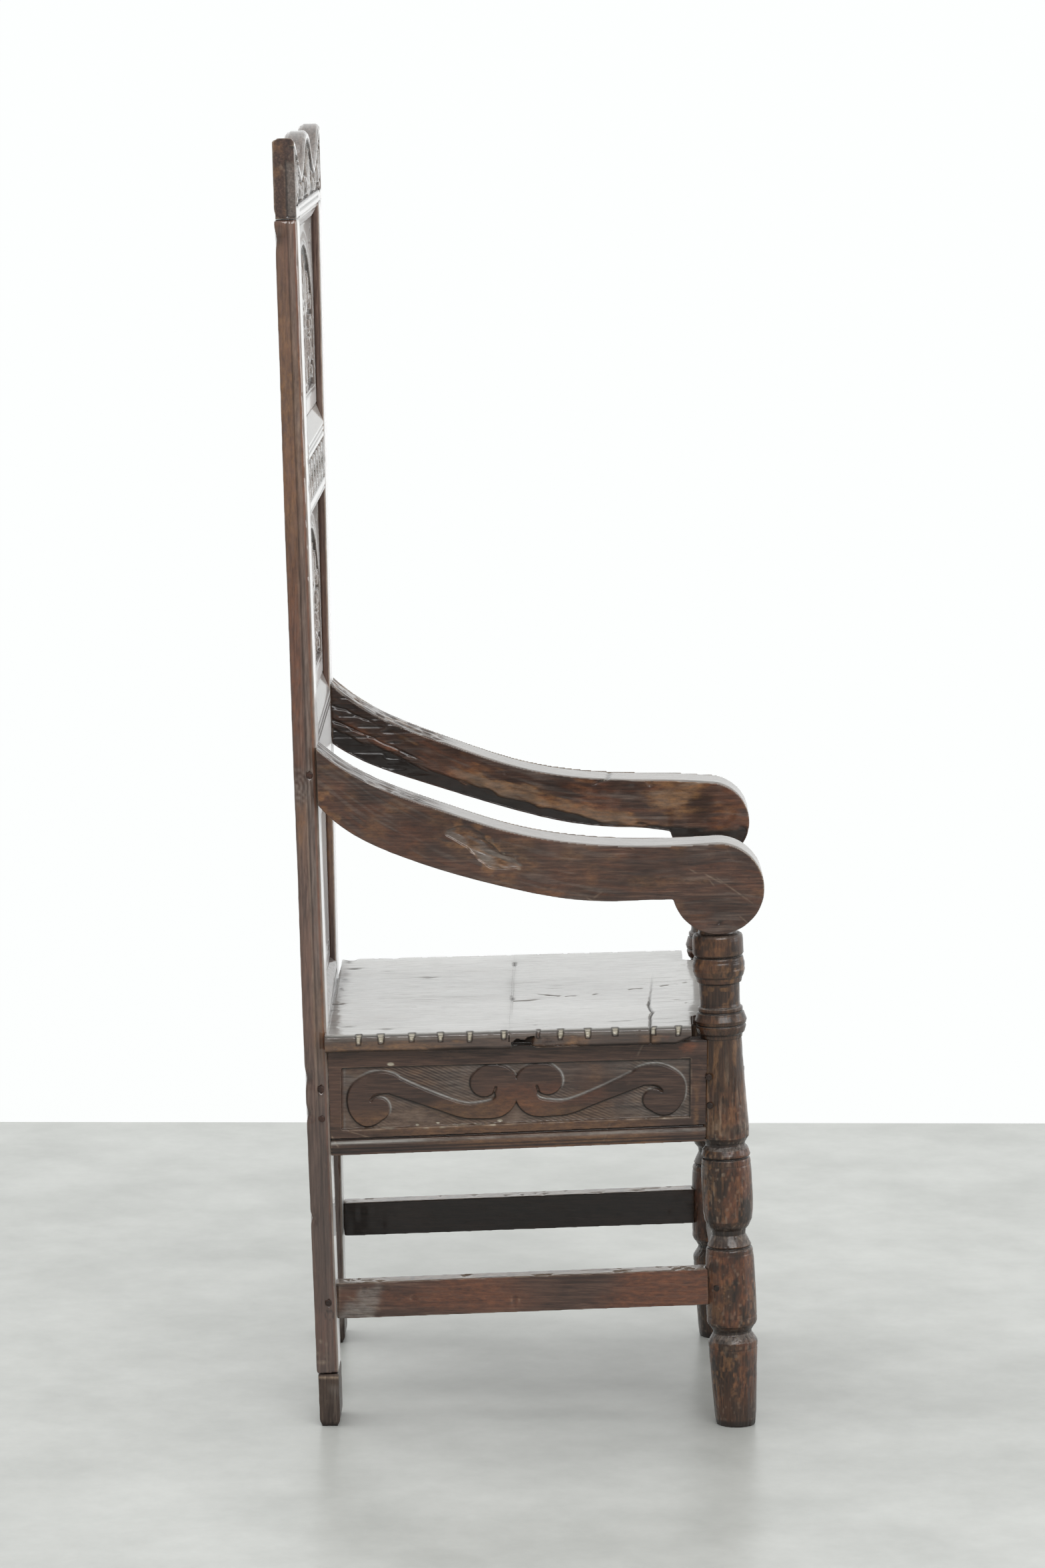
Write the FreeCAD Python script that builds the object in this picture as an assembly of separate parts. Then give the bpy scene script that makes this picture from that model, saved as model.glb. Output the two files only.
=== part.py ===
import FreeCAD, Part
import math
import os

# A joined oak wainscot armchair, in millimetres.
# X runs across the chair, +Y to its back, +Z up. The sitter's right is at -X.
# While it is built, Y is 0 near the heels of the rear feet. Then the whole chair is moved
# so that its origin lies on the floor, in the middle of its bounding box.

V = FreeCAD.Vector

# Overall stance: the width over the rear stiles, and how far the front posts stand forward
stile_spread = 458.0
post_foot_forward = 452.0

# Age has twisted the frame a little, so each side has its own lean and its own footing
back_lean_right_degrees = 1.78
back_lean_left_degrees = 1.06
heel_right_back = 2.5
heel_left_back = 13.0
post_lean_right_degrees = 2.39
post_lean_left_degrees = 1.40
post_foot_left_set_back = 10.5
arm_left_lift = 11.0
arm_left_stile_rise = 7.0
arm_left_slimness = 14.0
arm_left_scroll_radius = 46.0

# Seat frame
seat_rail_thickness = 24.0
seat_rail_inset = 5.0
seat_rail_bottom_rear = 299.5
seat_rail_rise = 17.5
seat_rail_height_rear = 116.0
seat_rail_height_front = 111.0
bead_height = 12.0
bead_fillet = 4.0
quirk_depth = 2.5
sunk_depth = 4.0
sunk_border_top = 20.0
sunk_border_bottom = 12.0
sunk_border_end = 15.0
front_rail_height = 104.0

# Rails and openings of the back, one above the other along the stiles
back_seat_rail_raise = 30.5
back_seat_rail_height = 122.0
lower_panel_height = 211.0
arm_rail_height = 117.0
middle_panel_height = 203.0
middle_rail_height = 102.0
upper_panel_height = 210.0
rail_splay_height = 21.0
rail_bevel = 6.0
rail_tenon_length = 30.0
rail_tenon_share = 0.56

# Rear stiles
stile_width = 67.0
stile_thickness = 23.5
stile_run_width = 7.5
stile_run_depth = 5.0
stile_quirk = 1.2

# Repaired rear feet, spliced under the stiles with a stub tenon
foot_height = 58.0
foot_inset = 1.0
foot_tenon_length = 20.0

# Crest rail, which caps the stiles and hangs a little between them
crest_drop = 15.0
crest_peak_rise = 86.0
crest_lobe_rise = 86.0
crest_notch_rise = 44.0
crest_notch_offset = 115.0
crest_band_rise = 13.0
crest_sunk_depth = 2.5
crest_margin = 9.0
crest_tenon_height = 26.0
crest_seat_gap = 0.4

# Back panels, which float in grooves
panel_recess = 8.0
panel_thickness = 9.0
panel_tongue = 5.6
groove_depth = 8.0
panel_arch_depth = 2.0
panel_arch_margin = 24.0
panel_arch_rise = 70.0

# Front posts, turned over their full length
post_inset = 21.0
post_above_seat_rail = 118.5
post_radius = 28.4
post_tenon_radius = 10.0
post_tenon_length = 28.0

# Arms, shaped planks with a round scroll over each front post
arm_width = 66.0
arm_overhang = 9.0
arm_end_rise = 89.8
arm_end_height = 62.0
arm_scroll_radius = 49.5
arm_scroll_turn_degrees = 14.0
arm_seat_depth = 0.8
arm_curve_fit = 0.2

# Seat boards
seat_overhang = 16.0
seat_thickness = 19.0
seat_front_overhang = 2.0
seat_front_board_depth = 248.0
seat_notch_gap = 4.0
seat_corner_radius = 9.0
seat_edge_round = 5.0

# Stretchers
stretcher_thickness = 24.0
stretcher_inset = 9.0
stretcher_bottom_rear = 118.0
stretcher_rise = 17.5
stretcher_height_rear = 39.0
stretcher_height_front = 40.0
front_stretcher_bottom = 132.0
front_stretcher_height = 40.0

# Joints and pegs
side_tenon_length = 16.0
side_tenon_thickness = 8.0
fit_gap = 0.25
peg_radius = 3.8
peg_length = 21.0
peg_proud = 0.8
peg_hole_gap = 0.15
peg_facets = 6
overrun = 40.0

# Places that follow from those sizes
full_turn_degrees = 360
stile_outer = stile_spread / 2
stile_inner = stile_outer - stile_width
stile_x = (stile_inner + stile_outer) / 2
post_x = stile_outer - post_inset
seat_rail_outer = stile_outer - seat_rail_inset
seat_rail_x = seat_rail_outer - seat_rail_thickness / 2
stretcher_x = stile_outer - stretcher_inset - stretcher_thickness / 2
arm_x = stile_outer + arm_overhang - arm_width / 2
seat_side = stile_outer + seat_overhang
seat_front_forward = post_foot_forward + seat_front_overhang
seat_joint_forward = seat_front_forward - seat_front_board_depth

seat_rail_top_rear = seat_rail_bottom_rear + seat_rail_height_rear
seat_rail_bottom_front = seat_rail_bottom_rear + seat_rail_rise
seat_rail_top_front = seat_rail_bottom_front + seat_rail_height_front
stretcher_top_rear = stretcher_bottom_rear + stretcher_height_rear
stretcher_bottom_front = stretcher_bottom_rear + stretcher_rise
stretcher_top_front = stretcher_bottom_front + stretcher_height_front

back_seat_rail_bottom = seat_rail_bottom_rear + back_seat_rail_raise
lower_panel_bottom = back_seat_rail_bottom + back_seat_rail_height
arm_rail_bottom = lower_panel_bottom + lower_panel_height
middle_panel_bottom = arm_rail_bottom + arm_rail_height
middle_rail_bottom = middle_panel_bottom + middle_panel_height
upper_panel_bottom = middle_rail_bottom + middle_rail_height
crest_bottom = upper_panel_bottom + upper_panel_height
stile_height = crest_bottom + crest_drop
crest_band = stile_height + crest_band_rise
crest_notch = stile_height + crest_notch_rise
crest_lobe = stile_height + crest_lobe_rise
crest_peak = stile_height + crest_peak_rise

post_height = seat_rail_top_front + post_above_seat_rail
arm_scroll_height = post_height + arm_scroll_radius - arm_seat_depth

# Half outline of a front post from the floor up, as height and radius shares: the tapered
# foot, two barrels between hollow necks, the flared shaft, the ring, the bead and the drum
post_outline_shares = (
    (0.000, 0.74),
    (0.168, 0.95),
    (0.188, 0.74),
    (0.207, 0.94),
    (0.357, 0.94),
    (0.390, 0.65),
    (0.422, 0.96),
    (0.548, 0.96),
    (0.568, 0.76),
    (0.586, 0.93),
    (0.785, 0.77),
    (0.797, 0.92),
    (0.810, 1.00),
    (0.826, 1.00),
    (0.850, 0.76),
    (0.893, 0.76),
    (0.899, 0.89),
    (0.915, 1.00),
    (0.934, 1.00),
    (0.948, 0.88),
    (0.954, 0.97),
    (0.983, 0.97),
    (1.000, 0.79),
)

# Side outline of an arm between the stile and the scroll: forward share of the distance
# to the scroll's centre, and height share between the scroll's centre and the top corner.
arm_top_shares = ((0.14, 0.735), (0.29, 0.577), (0.47, 0.415), (0.65, 0.327), (0.85, 0.306))
arm_bottom_shares = ((0.82, -0.085), (0.71, -0.094), (0.47, 0.005), (0.225, 0.207), (0.055, 0.445))

# How much of an arm's slimness its underside is raised by at each of those points
arm_slim_shares = (0.45, 0.70, 1.00, 1.00, 0.25)

# Points of the crest's curved top: share of the way across, and share of the height between
# the notch and the peak, or the notch and the lobe. Each pair of steps makes one arc.
crest_end_shares = ((0.33, 0.32), (0.62, 0.70), (0.84, 0.94), (1.00, 1.00))
crest_lobe_shares = ((0.46, 0.66), (0.70, 0.26), (1.00, 0.00))


def block(x0, x1, y0, y1, z0, z1):
    """A box between two corners."""
    return Part.makeBox(x1 - x0, y1 - y0, z1 - z0, V(x0, y0, z0))


def line(start, end):
    return Part.LineSegment(start, end).toShape()


def arcs_through(points, fit):
    """A smooth run of arcs that passes the given points within a tolerance."""
    spline = Part.BSplineCurve()
    spline.interpolate(points)
    return [arc.toShape() for arc in spline.toBiArcs(fit)]


def prism_across(outline, x0, x1):
    """A side-view outline of (y, z) corners, extruded across the chair."""
    corners = [V(x0, y, z) for y, z in outline]
    face = Part.Face(Part.makePolygon(corners + corners[:1]))
    return face.extrude(V(x1 - x0, 0, 0))


def mirrored(shape):
    """The same shape on the other side of the chair."""
    return shape.mirror(V(0, 0, 0), V(1, 0, 0))


def on_both_sides(shapes):
    return list(shapes) + [mirrored(shape) for shape in shapes]


def above_floor(shape):
    """Cuts a leaning foot flat where it meets the floor."""
    reach = stile_spread + post_foot_forward
    return shape.cut(block(-reach, reach, -reach, reach, -overrun, 0))


def inset(bottom, top, share):
    """The low and high ends of a tenon that is a share of its bar's height."""
    trim = (top - bottom) * (1 - share) / 2
    return bottom + trim, top - trim


def pair_of_heights(low, high):
    """Where two pegs go in one tenon."""
    step = (high - low) / 4
    return low + step, high - step


def peg_shapes(places, grow):
    """Faceted pegs driven in at these places, or the holes that they are driven into."""
    corners = []
    for step in range(peg_facets):
        turn = math.radians(full_turn_degrees * step / peg_facets)
        corners.append(V(math.cos(turn), math.sin(turn), 0) * (peg_radius + grow))
    peg = Part.Face(Part.makePolygon(corners + corners[:1])).extrude(V(0, 0, peg_length + grow))
    shapes = []
    for head, direction in places:
        placed = peg.copy()
        placed.Placement = FreeCAD.Placement(head, FreeCAD.Rotation(V(0, 0, 1), direction))
        shapes.append(placed)
    return shapes


class Side:
    """One side of the chair. Its pieces are drawn on the right and then put on their side."""

    def __init__(self, on_left, back_lean, heel_back, post_lean, post_foot_forward):
        self.on_left = on_left
        self.back_turn = FreeCAD.Placement(V(0, heel_back, 0), FreeCAD.Rotation(V(1, 0, 0), -back_lean))
        foot = V(-post_x, -post_foot_forward, 0)
        self.post_turn = FreeCAD.Placement(foot, FreeCAD.Rotation(V(1, 0, 0), -post_lean))
        self.lift = arm_left_lift if on_left else 0
        self.stile_rise = arm_left_stile_rise if on_left else 0
        self.slimness = arm_left_slimness if on_left else 0
        self.scroll_radius = arm_left_scroll_radius if on_left else arm_scroll_radius
        self.post_height = post_height + self.lift + arm_scroll_radius - self.scroll_radius

    def placed(self, shape, placement):
        moved = shape.copy()
        moved.Placement = placement.multiply(moved.Placement)
        return self.on_own_side(moved)

    def on_own_side(self, shape):
        return mirrored(shape) if self.on_left else shape

    def stood(self, shape):
        """Leans a piece of the stile, drawn upright with its rear face at Y = 0."""
        return self.placed(shape, self.back_turn)

    def back_point(self, y, height):
        """Where a point of the upright stile goes when it leans."""
        spot = self.back_turn.multVec(V(0, y, height))
        return spot.y, spot.z

    def stile_front(self, z):
        """The Y of the stile's leaning front face at a height above the floor."""
        low_y, low_z = self.back_point(-stile_thickness, 0)
        high_y, high_z = self.back_point(-stile_thickness, stile_height)
        return low_y + (z - low_z) * (high_y - low_y) / (high_z - low_z)

    def post_axis(self, z):
        """The Y of the front post's leaning axis at a height above the floor."""
        foot = self.post_turn.multVec(V(0, 0, 0))
        top = self.post_turn.multVec(V(0, 0, self.post_height))
        return foot.y + (z - foot.z) * (top.y - foot.y) / (top.z - foot.z)


right = Side(False, back_lean_right_degrees, heel_right_back, post_lean_right_degrees,
             post_foot_forward)
left = Side(True, back_lean_left_degrees, heel_left_back, post_lean_left_degrees,
            post_foot_forward - post_foot_left_set_back)
sides = {"right": right, "left": left}


def set_across(shape, height):
    """Sets a piece of the back, drawn upright, between the two leaning stiles."""
    right_y, right_z = right.back_point(0, height)
    left_y, left_z = left.back_point(0, height)
    swing = math.degrees(math.atan2(left_y - right_y, stile_x * 2))
    lean = (back_lean_right_degrees + back_lean_left_degrees) / 2
    moved = shape.copy()
    moved.translate(V(0, 0, -height))
    moved.rotate(V(0, 0, 0), V(1, 0, 0), -lean)
    moved.rotate(V(0, 0, 0), V(0, 0, 1), swing)
    moved.translate(V(0, (left_y + right_y) / 2, (left_z + right_z) / 2))
    return moved


def set_between_posts(shape, height):
    """Sets a bar, drawn at its own height with its middle at Y = 0, between the two posts."""
    right_y = right.post_axis(height)
    left_y = left.post_axis(height)
    swing = math.degrees(math.atan2(left_y - right_y, post_x * 2))
    moved = shape.copy()
    moved.rotate(V(0, 0, 0), V(0, 0, 1), swing)
    moved.translate(V(0, (left_y + right_y) / 2, 0))
    return moved


# The back
back_rails = {
    "rail_middle": (middle_rail_bottom, middle_rail_height),
    "rail_arm_level": (arm_rail_bottom, arm_rail_height),
    "rail_seat_back": (back_seat_rail_bottom, back_seat_rail_height),
}
panel_openings = {
    "panel_upper": (upper_panel_bottom, crest_bottom),
    "panel_middle": (middle_panel_bottom, middle_rail_bottom),
    "panel_lower": (lower_panel_bottom, arm_rail_bottom),
}


def rail_tenons(bottom, height, grow):
    """One bar through a back rail whose ends are its two tenons."""
    low, high = inset(bottom, bottom + height, rail_tenon_share)
    reach = stile_inner + rail_tenon_length + grow
    half = side_tenon_thickness / 2 + grow
    middle = -stile_thickness / 2
    return block(-reach, reach, middle - half, middle + half, low - grow, high + grow)


def panel_tongue_board(low, high, grow):
    """The thin board whose edges run in the grooves round a panel."""
    edge = groove_depth - fit_gap + grow
    front = panel_recess + (panel_thickness - panel_tongue) / 2 - stile_thickness
    return block(-stile_inner - edge, stile_inner + edge, front - grow, front + panel_tongue + grow,
                 low - edge, high + edge)


def panel_grooves():
    """What the panels' tongues take out of the stiles and rails around them."""
    return [set_across(panel_tongue_board(low, high, fit_gap), (low + high) / 2)
            for low, high in panel_openings.values()]


def panel(low, high, arched):
    """A board with a thinner tongue all round and, where it is carved, a sunk arch."""
    half = stile_inner - fit_gap * 2
    front = panel_recess - stile_thickness
    board = block(-half, half, front, front + panel_thickness, low + fit_gap * 2, high - fit_gap * 2)
    board = board.fuse(panel_tongue_board(low, high, 0)).removeSplitter()
    if not arched:
        return board
    side = half - panel_arch_margin
    foot = low + panel_arch_margin
    spring = high - panel_arch_margin - panel_arch_rise
    crown = V(0, front, spring + panel_arch_rise)
    arch = (
        line(V(-side, front, foot), V(side, front, foot)),
        line(V(side, front, foot), V(side, front, spring)),
        Part.Arc(V(side, front, spring), crown, V(-side, front, spring)).toShape(),
        line(V(-side, front, spring), V(-side, front, foot)),
    )
    return board.cut(Part.Face(Part.Wire(arch)).extrude(V(0, panel_arch_depth, 0)))


def back_rail(bottom, height, splayed):
    """A rail between the stiles, splayed above and bevelled below."""
    top = bottom + height
    front = -stile_thickness
    splay = rail_splay_height if splayed else rail_bevel
    section = (
        (0, bottom),
        (0, top),
        (front + panel_recess, top),
        (front, top - splay),
        (front, bottom + rail_bevel),
        (front + rail_bevel, bottom),
    )
    half = stile_inner - fit_gap * 2
    body = prism_across(section, -half, half)
    return body.fuse(rail_tenons(bottom, height, 0)).removeSplitter()


def stile_section():
    """Plan of the right stile, with the moulding run along its outer front edge."""
    outer = -stile_outer
    front = -stile_thickness
    shoulder = front + stile_run_width
    return Part.Wire([
        line(V(outer, 0, 0), V(-stile_inner, 0, 0)),
        line(V(-stile_inner, 0, 0), V(-stile_inner, front, 0)),
        line(V(-stile_inner, front, 0), V(outer + stile_run_depth, front, 0)),
        Part.Arc(
            V(outer + stile_run_depth, front, 0),
            V(outer + stile_quirk * 2, front + stile_quirk * 2, 0),
            V(outer + stile_quirk, shoulder - stile_quirk, 0),
        ).toShape(),
        line(V(outer + stile_quirk, shoulder - stile_quirk, 0), V(outer + stile_quirk, shoulder, 0)),
        line(V(outer + stile_quirk, shoulder, 0), V(outer, shoulder, 0)),
        line(V(outer, shoulder, 0), V(outer, 0, 0)),
    ])


def stub(low, high, grow):
    """A stub tenon in the middle of a stile, for the spliced foot or the crest."""
    half = stile_width / 4 + grow
    thick = side_tenon_thickness / 2 + grow
    middle = -stile_thickness / 2
    return block(-stile_x - half, -stile_x + half, middle - thick, middle + thick, low, high)


def crest_socket(side):
    """What a stile's top tenon takes out of the crest."""
    top = stile_height + crest_tenon_height + fit_gap
    return side.stood(stub(stile_height - groove_depth, top, fit_gap))


def crest_top(notch, lobe, peak, end):
    """Edges of the crest's top: a lobe between two notches, and a peak at each end."""
    inner = [V(crest_notch_offset * x_share, 0, notch + (lobe - notch) * z_share)
             for x_share, z_share in crest_lobe_shares]
    outer = [inner[-1]] + [V(crest_notch_offset + (end - crest_notch_offset) * x_share, 0,
                             notch + (peak - notch) * z_share)
                           for x_share, z_share in crest_end_shares]
    half = inner + outer[1:]
    spots = [V(-spot.x, 0, spot.z) for spot in reversed(half)] + [V(0, 0, lobe)] + half
    return [Part.Arc(*spots[first:first + 3]).toShape() for first in range(0, len(spots) - 1, 2)]


def crest_field():
    """The sunk ground of the crest's carving, bounded by a border of even width."""
    side = stile_outer - crest_margin
    peak = crest_peak - crest_margin * 2
    edges = crest_top(crest_notch - crest_margin, crest_lobe - crest_margin, peak, side)
    edges.append(line(V(side, 0, peak), V(side, 0, crest_band)))
    edges.append(line(V(side, 0, crest_band), V(-side, 0, crest_band)))
    edges.append(line(V(-side, 0, crest_band), V(-side, 0, peak)))
    field = Part.Face(Part.Wire(edges)).extrude(V(0, crest_sunk_depth * 2, 0))
    field.translate(V(0, -stile_thickness - crest_sunk_depth, 0))
    return field


def crest_run():
    """The flat that carries the stile's moulding up the right end of the crest."""
    front = -stile_thickness
    low = stile_height - overrun
    corners = [
        V(-stile_outer - stile_run_depth, front + stile_run_width * 2, low),
        V(-stile_outer + stile_run_depth, front, low),
        V(-stile_outer + stile_run_depth, front - stile_run_width, low),
        V(-stile_outer - stile_run_depth, front - stile_run_width, low),
    ]
    face = Part.Face(Part.makePolygon(corners + corners[:1]))
    return face.extrude(V(0, 0, crest_peak - crest_margin - low))


def crest():
    """The crest rail, which sits over both stiles and hangs between them."""
    front = -stile_thickness
    shoulder = stile_height + crest_seat_gap
    inner = stile_inner - fit_gap * 2
    low = crest_bottom
    corners = [
        V(stile_outer, 0, crest_peak),
        V(stile_outer, 0, shoulder),
        V(inner, 0, shoulder),
        V(inner, 0, low),
        V(-inner, 0, low),
        V(-inner, 0, shoulder),
        V(-stile_outer, 0, shoulder),
        V(-stile_outer, 0, crest_peak),
    ]
    edges = [line(first, second) for first, second in zip(corners, corners[1:])]
    top = crest_top(crest_notch, crest_lobe, crest_peak, stile_outer)
    body = Part.Face(Part.Wire(top + edges)).extrude(V(0, front, 0))
    step = front + stile_quirk
    recess = front + panel_recess
    section = (
        (front - overrun, low - overrun),
        (front - overrun, shoulder),
        (front, shoulder),
        (step, shoulder - stile_quirk),
        (step, shoulder - stile_quirk * 3),
        (recess, low),
        (recess, low - overrun),
    )
    moulding = prism_across(section, -inner, inner)
    return body.cut([crest_field(), moulding] + on_both_sides([crest_run()]))


# Front posts
def post_solid(side, grow):
    """A turned post, with its surface moved out by a clearance."""
    below = -overrun / 2
    spots = [V(post_radius * radius_share + grow, 0, side.post_height * height_share)
             for height_share, radius_share in post_outline_shares]
    spots = [V(0, 0, below), V(spots[0].x, 0, below)] + spots + [V(0, 0, spots[-1].z)]
    outline = Part.makePolygon(spots + spots[:1])
    turned = Part.Face(outline).revolve(V(0, 0, 0), V(0, 0, 1), full_turn_degrees)
    return side.placed(turned, side.post_turn)


def post_pin(side, grow):
    """The round tenon on top of a post, or the hole for it."""
    low = side.post_height - overrun
    pin = Part.makeCylinder(post_tenon_radius + grow, overrun + post_tenon_length + grow, V(0, 0, low))
    return side.placed(pin, side.post_turn)


# Side bars, which run from stile to post
class SideBar:
    """The heights of a side bar and of its tenons, at its rear and at its front."""

    def __init__(self, x, thickness, rear, front):
        self.x = -x
        self.thickness = thickness
        self.rear = rear
        self.front = front
        self.rear_tenon = inset(*rear, rail_tenon_share)
        self.front_tenon = inset(*front, rail_tenon_share)

    def outline(self, side):
        """Side view, with its rear shoulder against the leaning stile."""
        low, high = self.rear
        front_y = side.post_axis(self.front[1])
        return (
            (side.stile_front(high) - fit_gap, high),
            (front_y, self.front[1]),
            (front_y, self.front[0]),
            (side.stile_front(low) - fit_gap, low),
        )

    def tenons(self, side, grow):
        """Its rear tenon and its front one, or the mortises for them."""
        half = side_tenon_thickness / 2 + grow
        rear_y = side.stile_front(sum(self.rear_tenon) / 2)
        front_y = side.post_axis(sum(self.front_tenon) / 2)
        rear = block(self.x - half, self.x + half, rear_y - side_tenon_length,
                     rear_y + side_tenon_length + grow, self.rear_tenon[0] - grow, self.rear_tenon[1] + grow)
        front = block(self.x - half, self.x + half, front_y + side_tenon_thickness - grow,
                      front_y + overrun, self.front_tenon[0] - grow, self.front_tenon[1] + grow)
        return side.on_own_side(rear), side.on_own_side(front)

    def solid(self, side):
        """The bar coped round the post, with a tenon at each end."""
        half = self.thickness / 2
        body = side.on_own_side(prism_across(self.outline(side), self.x - half, self.x + half))
        body = body.cut(post_solid(side, fit_gap))
        return body.fuse(list(self.tenons(side, 0))).removeSplitter()


seat_bar = SideBar(seat_rail_x, seat_rail_thickness,
                   (seat_rail_bottom_rear, seat_rail_top_rear),
                   (seat_rail_bottom_front, seat_rail_top_front))
stretcher_bar = SideBar(stretcher_x, stretcher_thickness,
                        (stretcher_bottom_rear, stretcher_top_rear),
                        (stretcher_bottom_front, stretcher_top_front))


# Front bars, which run from post to post
class FrontBar:
    """A bar between the front posts, with tenons that stop short of the side bars' ones."""

    def __init__(self, thickness, bottom, height):
        self.thickness = thickness
        self.bottom = bottom
        self.height = height
        self.middle = bottom + height / 2
        self.tenon = inset(bottom, bottom + height, rail_tenon_share)

    def tenons(self, grow):
        reach = post_x - side_tenon_thickness + grow
        half = side_tenon_thickness / 2 + grow
        bar = block(-reach, reach, -half, half, self.tenon[0] - grow, self.tenon[1] + grow)
        return set_between_posts(bar, self.middle)

    def solid(self):
        half = self.thickness / 2
        bar = block(-post_x, post_x, -half, half, self.bottom, self.bottom + self.height)
        bar = set_between_posts(bar, self.middle)
        bar = bar.cut([post_solid(side, fit_gap) for side in sides.values()])
        bar = max(bar.Solids, key=lambda solid: solid.Volume)
        return bar.fuse(self.tenons(0)).removeSplitter()


front_rail_bar = FrontBar(seat_rail_thickness, seat_rail_top_front - front_rail_height, front_rail_height)
front_stretcher_bar = FrontBar(stretcher_thickness, front_stretcher_bottom, front_stretcher_height)


# Arms
def arm_ends(side):
    """The heights of the arm's bottom and top where it meets the stile."""
    low = arm_scroll_height + arm_end_rise + side.lift
    return low, low + arm_end_height + side.stile_rise


def arm_tenon(side, grow):
    low, high = inset(*arm_ends(side), rail_tenon_share)
    half = side_tenon_thickness / 2 + grow
    y = side.stile_front((low + high) / 2)
    tenon = block(-arm_x - half, -arm_x + half, y - side_tenon_length, y + side_tenon_length + grow,
                  low - grow, high + grow)
    return side.on_own_side(tenon)


def arm_plank(side):
    """An arm cut to its side view: a falling S-curve that ends in a round scroll."""
    bottom_z, top_z = arm_ends(side)
    centre = V(0, side.post_axis(side.post_height), arm_scroll_height + side.lift)
    drop = top_z - centre.z

    def spots(shares, raised_by):
        return [V(0, centre.y * forward, centre.z + drop * up + rise)
                for (forward, up), rise in zip(shares, raised_by)]

    slim = [side.slimness * share for share in arm_slim_shares]

    start = V(0, side.stile_front(top_z) - fit_gap, top_z)
    end = V(0, side.stile_front(bottom_z) - fit_gap, bottom_z)
    crown = centre + V(0, 0, side.scroll_radius)
    nose = centre - V(0, side.scroll_radius, 0)
    turn = FreeCAD.Rotation(V(1, 0, 0), -arm_scroll_turn_degrees)
    heel = centre + turn.multVec(V(0, side.scroll_radius, 0))
    above = [start] + spots(arm_top_shares, [0] * len(arm_top_shares)) + [crown]
    below = [heel] + spots(arm_bottom_shares, slim) + [end]
    edges = arcs_through(above, arm_curve_fit)
    edges.append(Part.Arc(crown, nose, heel).toShape())
    edges.extend(arcs_through(below, arm_curve_fit))
    edges.append(line(end, start))
    plank = Part.Face(Part.Wire(edges)).extrude(V(arm_width, 0, 0))
    plank.translate(V(-arm_x - arm_width / 2, 0, 0))
    return side.on_own_side(plank)


# Where the pegs go, each as the place of its head and the direction that it is driven in
def stile_side_pegs(side):
    """Pegs in the outer face of a stile, through the tenons of the arm and the side bars."""
    arm_middle = sum(arm_ends(side)) / 2
    heights = (*pair_of_heights(*seat_bar.rear_tenon), sum(stretcher_bar.rear_tenon) / 2, arm_middle)
    places = []
    for z in heights:
        head = V(-stile_outer - peg_proud, side.stile_front(z) + side_tenon_length / 2, z)
        places.append((head, V(1, 0, 0)))
    return places


def post_side_pegs(side):
    """Pegs in the outer side of a post, behind its axis."""
    offset = side_tenon_thickness + peg_radius * 2
    depth = math.sqrt(post_radius ** 2 - offset ** 2)
    heights = (*pair_of_heights(*seat_bar.front_tenon), sum(stretcher_bar.front_tenon) / 2)
    return [(V(-post_x - depth, side.post_axis(z) + offset, z), V(1, 0, 0)) for z in heights]


def post_front_pegs(side):
    """Pegs in the front of a post, through the tenons of the front bars."""
    offset = side_tenon_thickness + peg_radius * 2
    depth = math.sqrt(post_radius ** 2 - offset ** 2)
    heights = (*pair_of_heights(*front_rail_bar.tenon), front_stretcher_bar.middle)
    return [(V(-post_x + offset, side.post_axis(z) - depth, z), V(0, 1, 0)) for z in heights]


def back_pegs():
    """Pegs in the front of an upright stile, and one in the crest above it."""
    x = -stile_inner - rail_tenon_length / 2
    places = []
    for bottom, height in back_rails.values():
        for z in pair_of_heights(*inset(bottom, bottom + height, rail_tenon_share)):
            places.append((V(x, -stile_thickness, z), V(0, 1, 0)))
    places.append((V(-stile_x, -stile_thickness, stile_height + crest_tenon_height / 2), V(0, 1, 0)))
    return places


def side_pegs(side, grow):
    shapes = peg_shapes(stile_side_pegs(side) + post_side_pegs(side), grow)
    return [side.on_own_side(shape) for shape in shapes]


def front_pegs(grow):
    return [side.on_own_side(shape) for side in sides.values()
            for shape in peg_shapes(post_front_pegs(side), grow)]


def all_back_pegs(grow):
    return [side.stood(shape) for side in sides.values() for shape in peg_shapes(back_pegs(), grow)]


# The pieces of one side
def stile(side):
    """A stile, leaned back and mortised for every piece that it carries."""
    shaft = Part.Face(stile_section()).extrude(V(0, 0, stile_height - foot_height))
    shaft.translate(V(0, 0, foot_height))
    shaft = shaft.fuse(stub(stile_height - groove_depth, stile_height + crest_tenon_height, 0))
    shaft = shaft.removeSplitter()
    shaft = shaft.cut(stub(foot_height - groove_depth, foot_height + foot_tenon_length + fit_gap, fit_gap))
    cuts = panel_grooves()
    for bottom, height in back_rails.values():
        cuts.append(set_across(rail_tenons(bottom, height, fit_gap), bottom + height / 2))
    for bar in (seat_bar, stretcher_bar):
        cuts.append(bar.tenons(side, fit_gap)[0])
    cuts.append(arm_tenon(side, fit_gap))
    return side.stood(shaft).cut(cuts + all_back_pegs(peg_hole_gap) + side_pegs(side, peg_hole_gap))


def foot(side):
    """A foot, a little thinner than the stile, with its stub tenon."""
    body = block(-stile_outer + foot_inset, -stile_inner, -stile_thickness, -foot_inset,
                 -overrun / 2, foot_height - fit_gap)
    body = body.fuse(stub(0, foot_height + foot_tenon_length, 0)).removeSplitter()
    return above_floor(side.stood(body))


def arm(side):
    """An arm with its tenon at the stile and its hole over the post."""
    body = arm_plank(side).fuse(arm_tenon(side, 0)).removeSplitter()
    cuts = [post_solid(side, fit_gap), post_pin(side, fit_gap)]
    return body.cut(cuts + side_pegs(side, peg_hole_gap))


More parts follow.
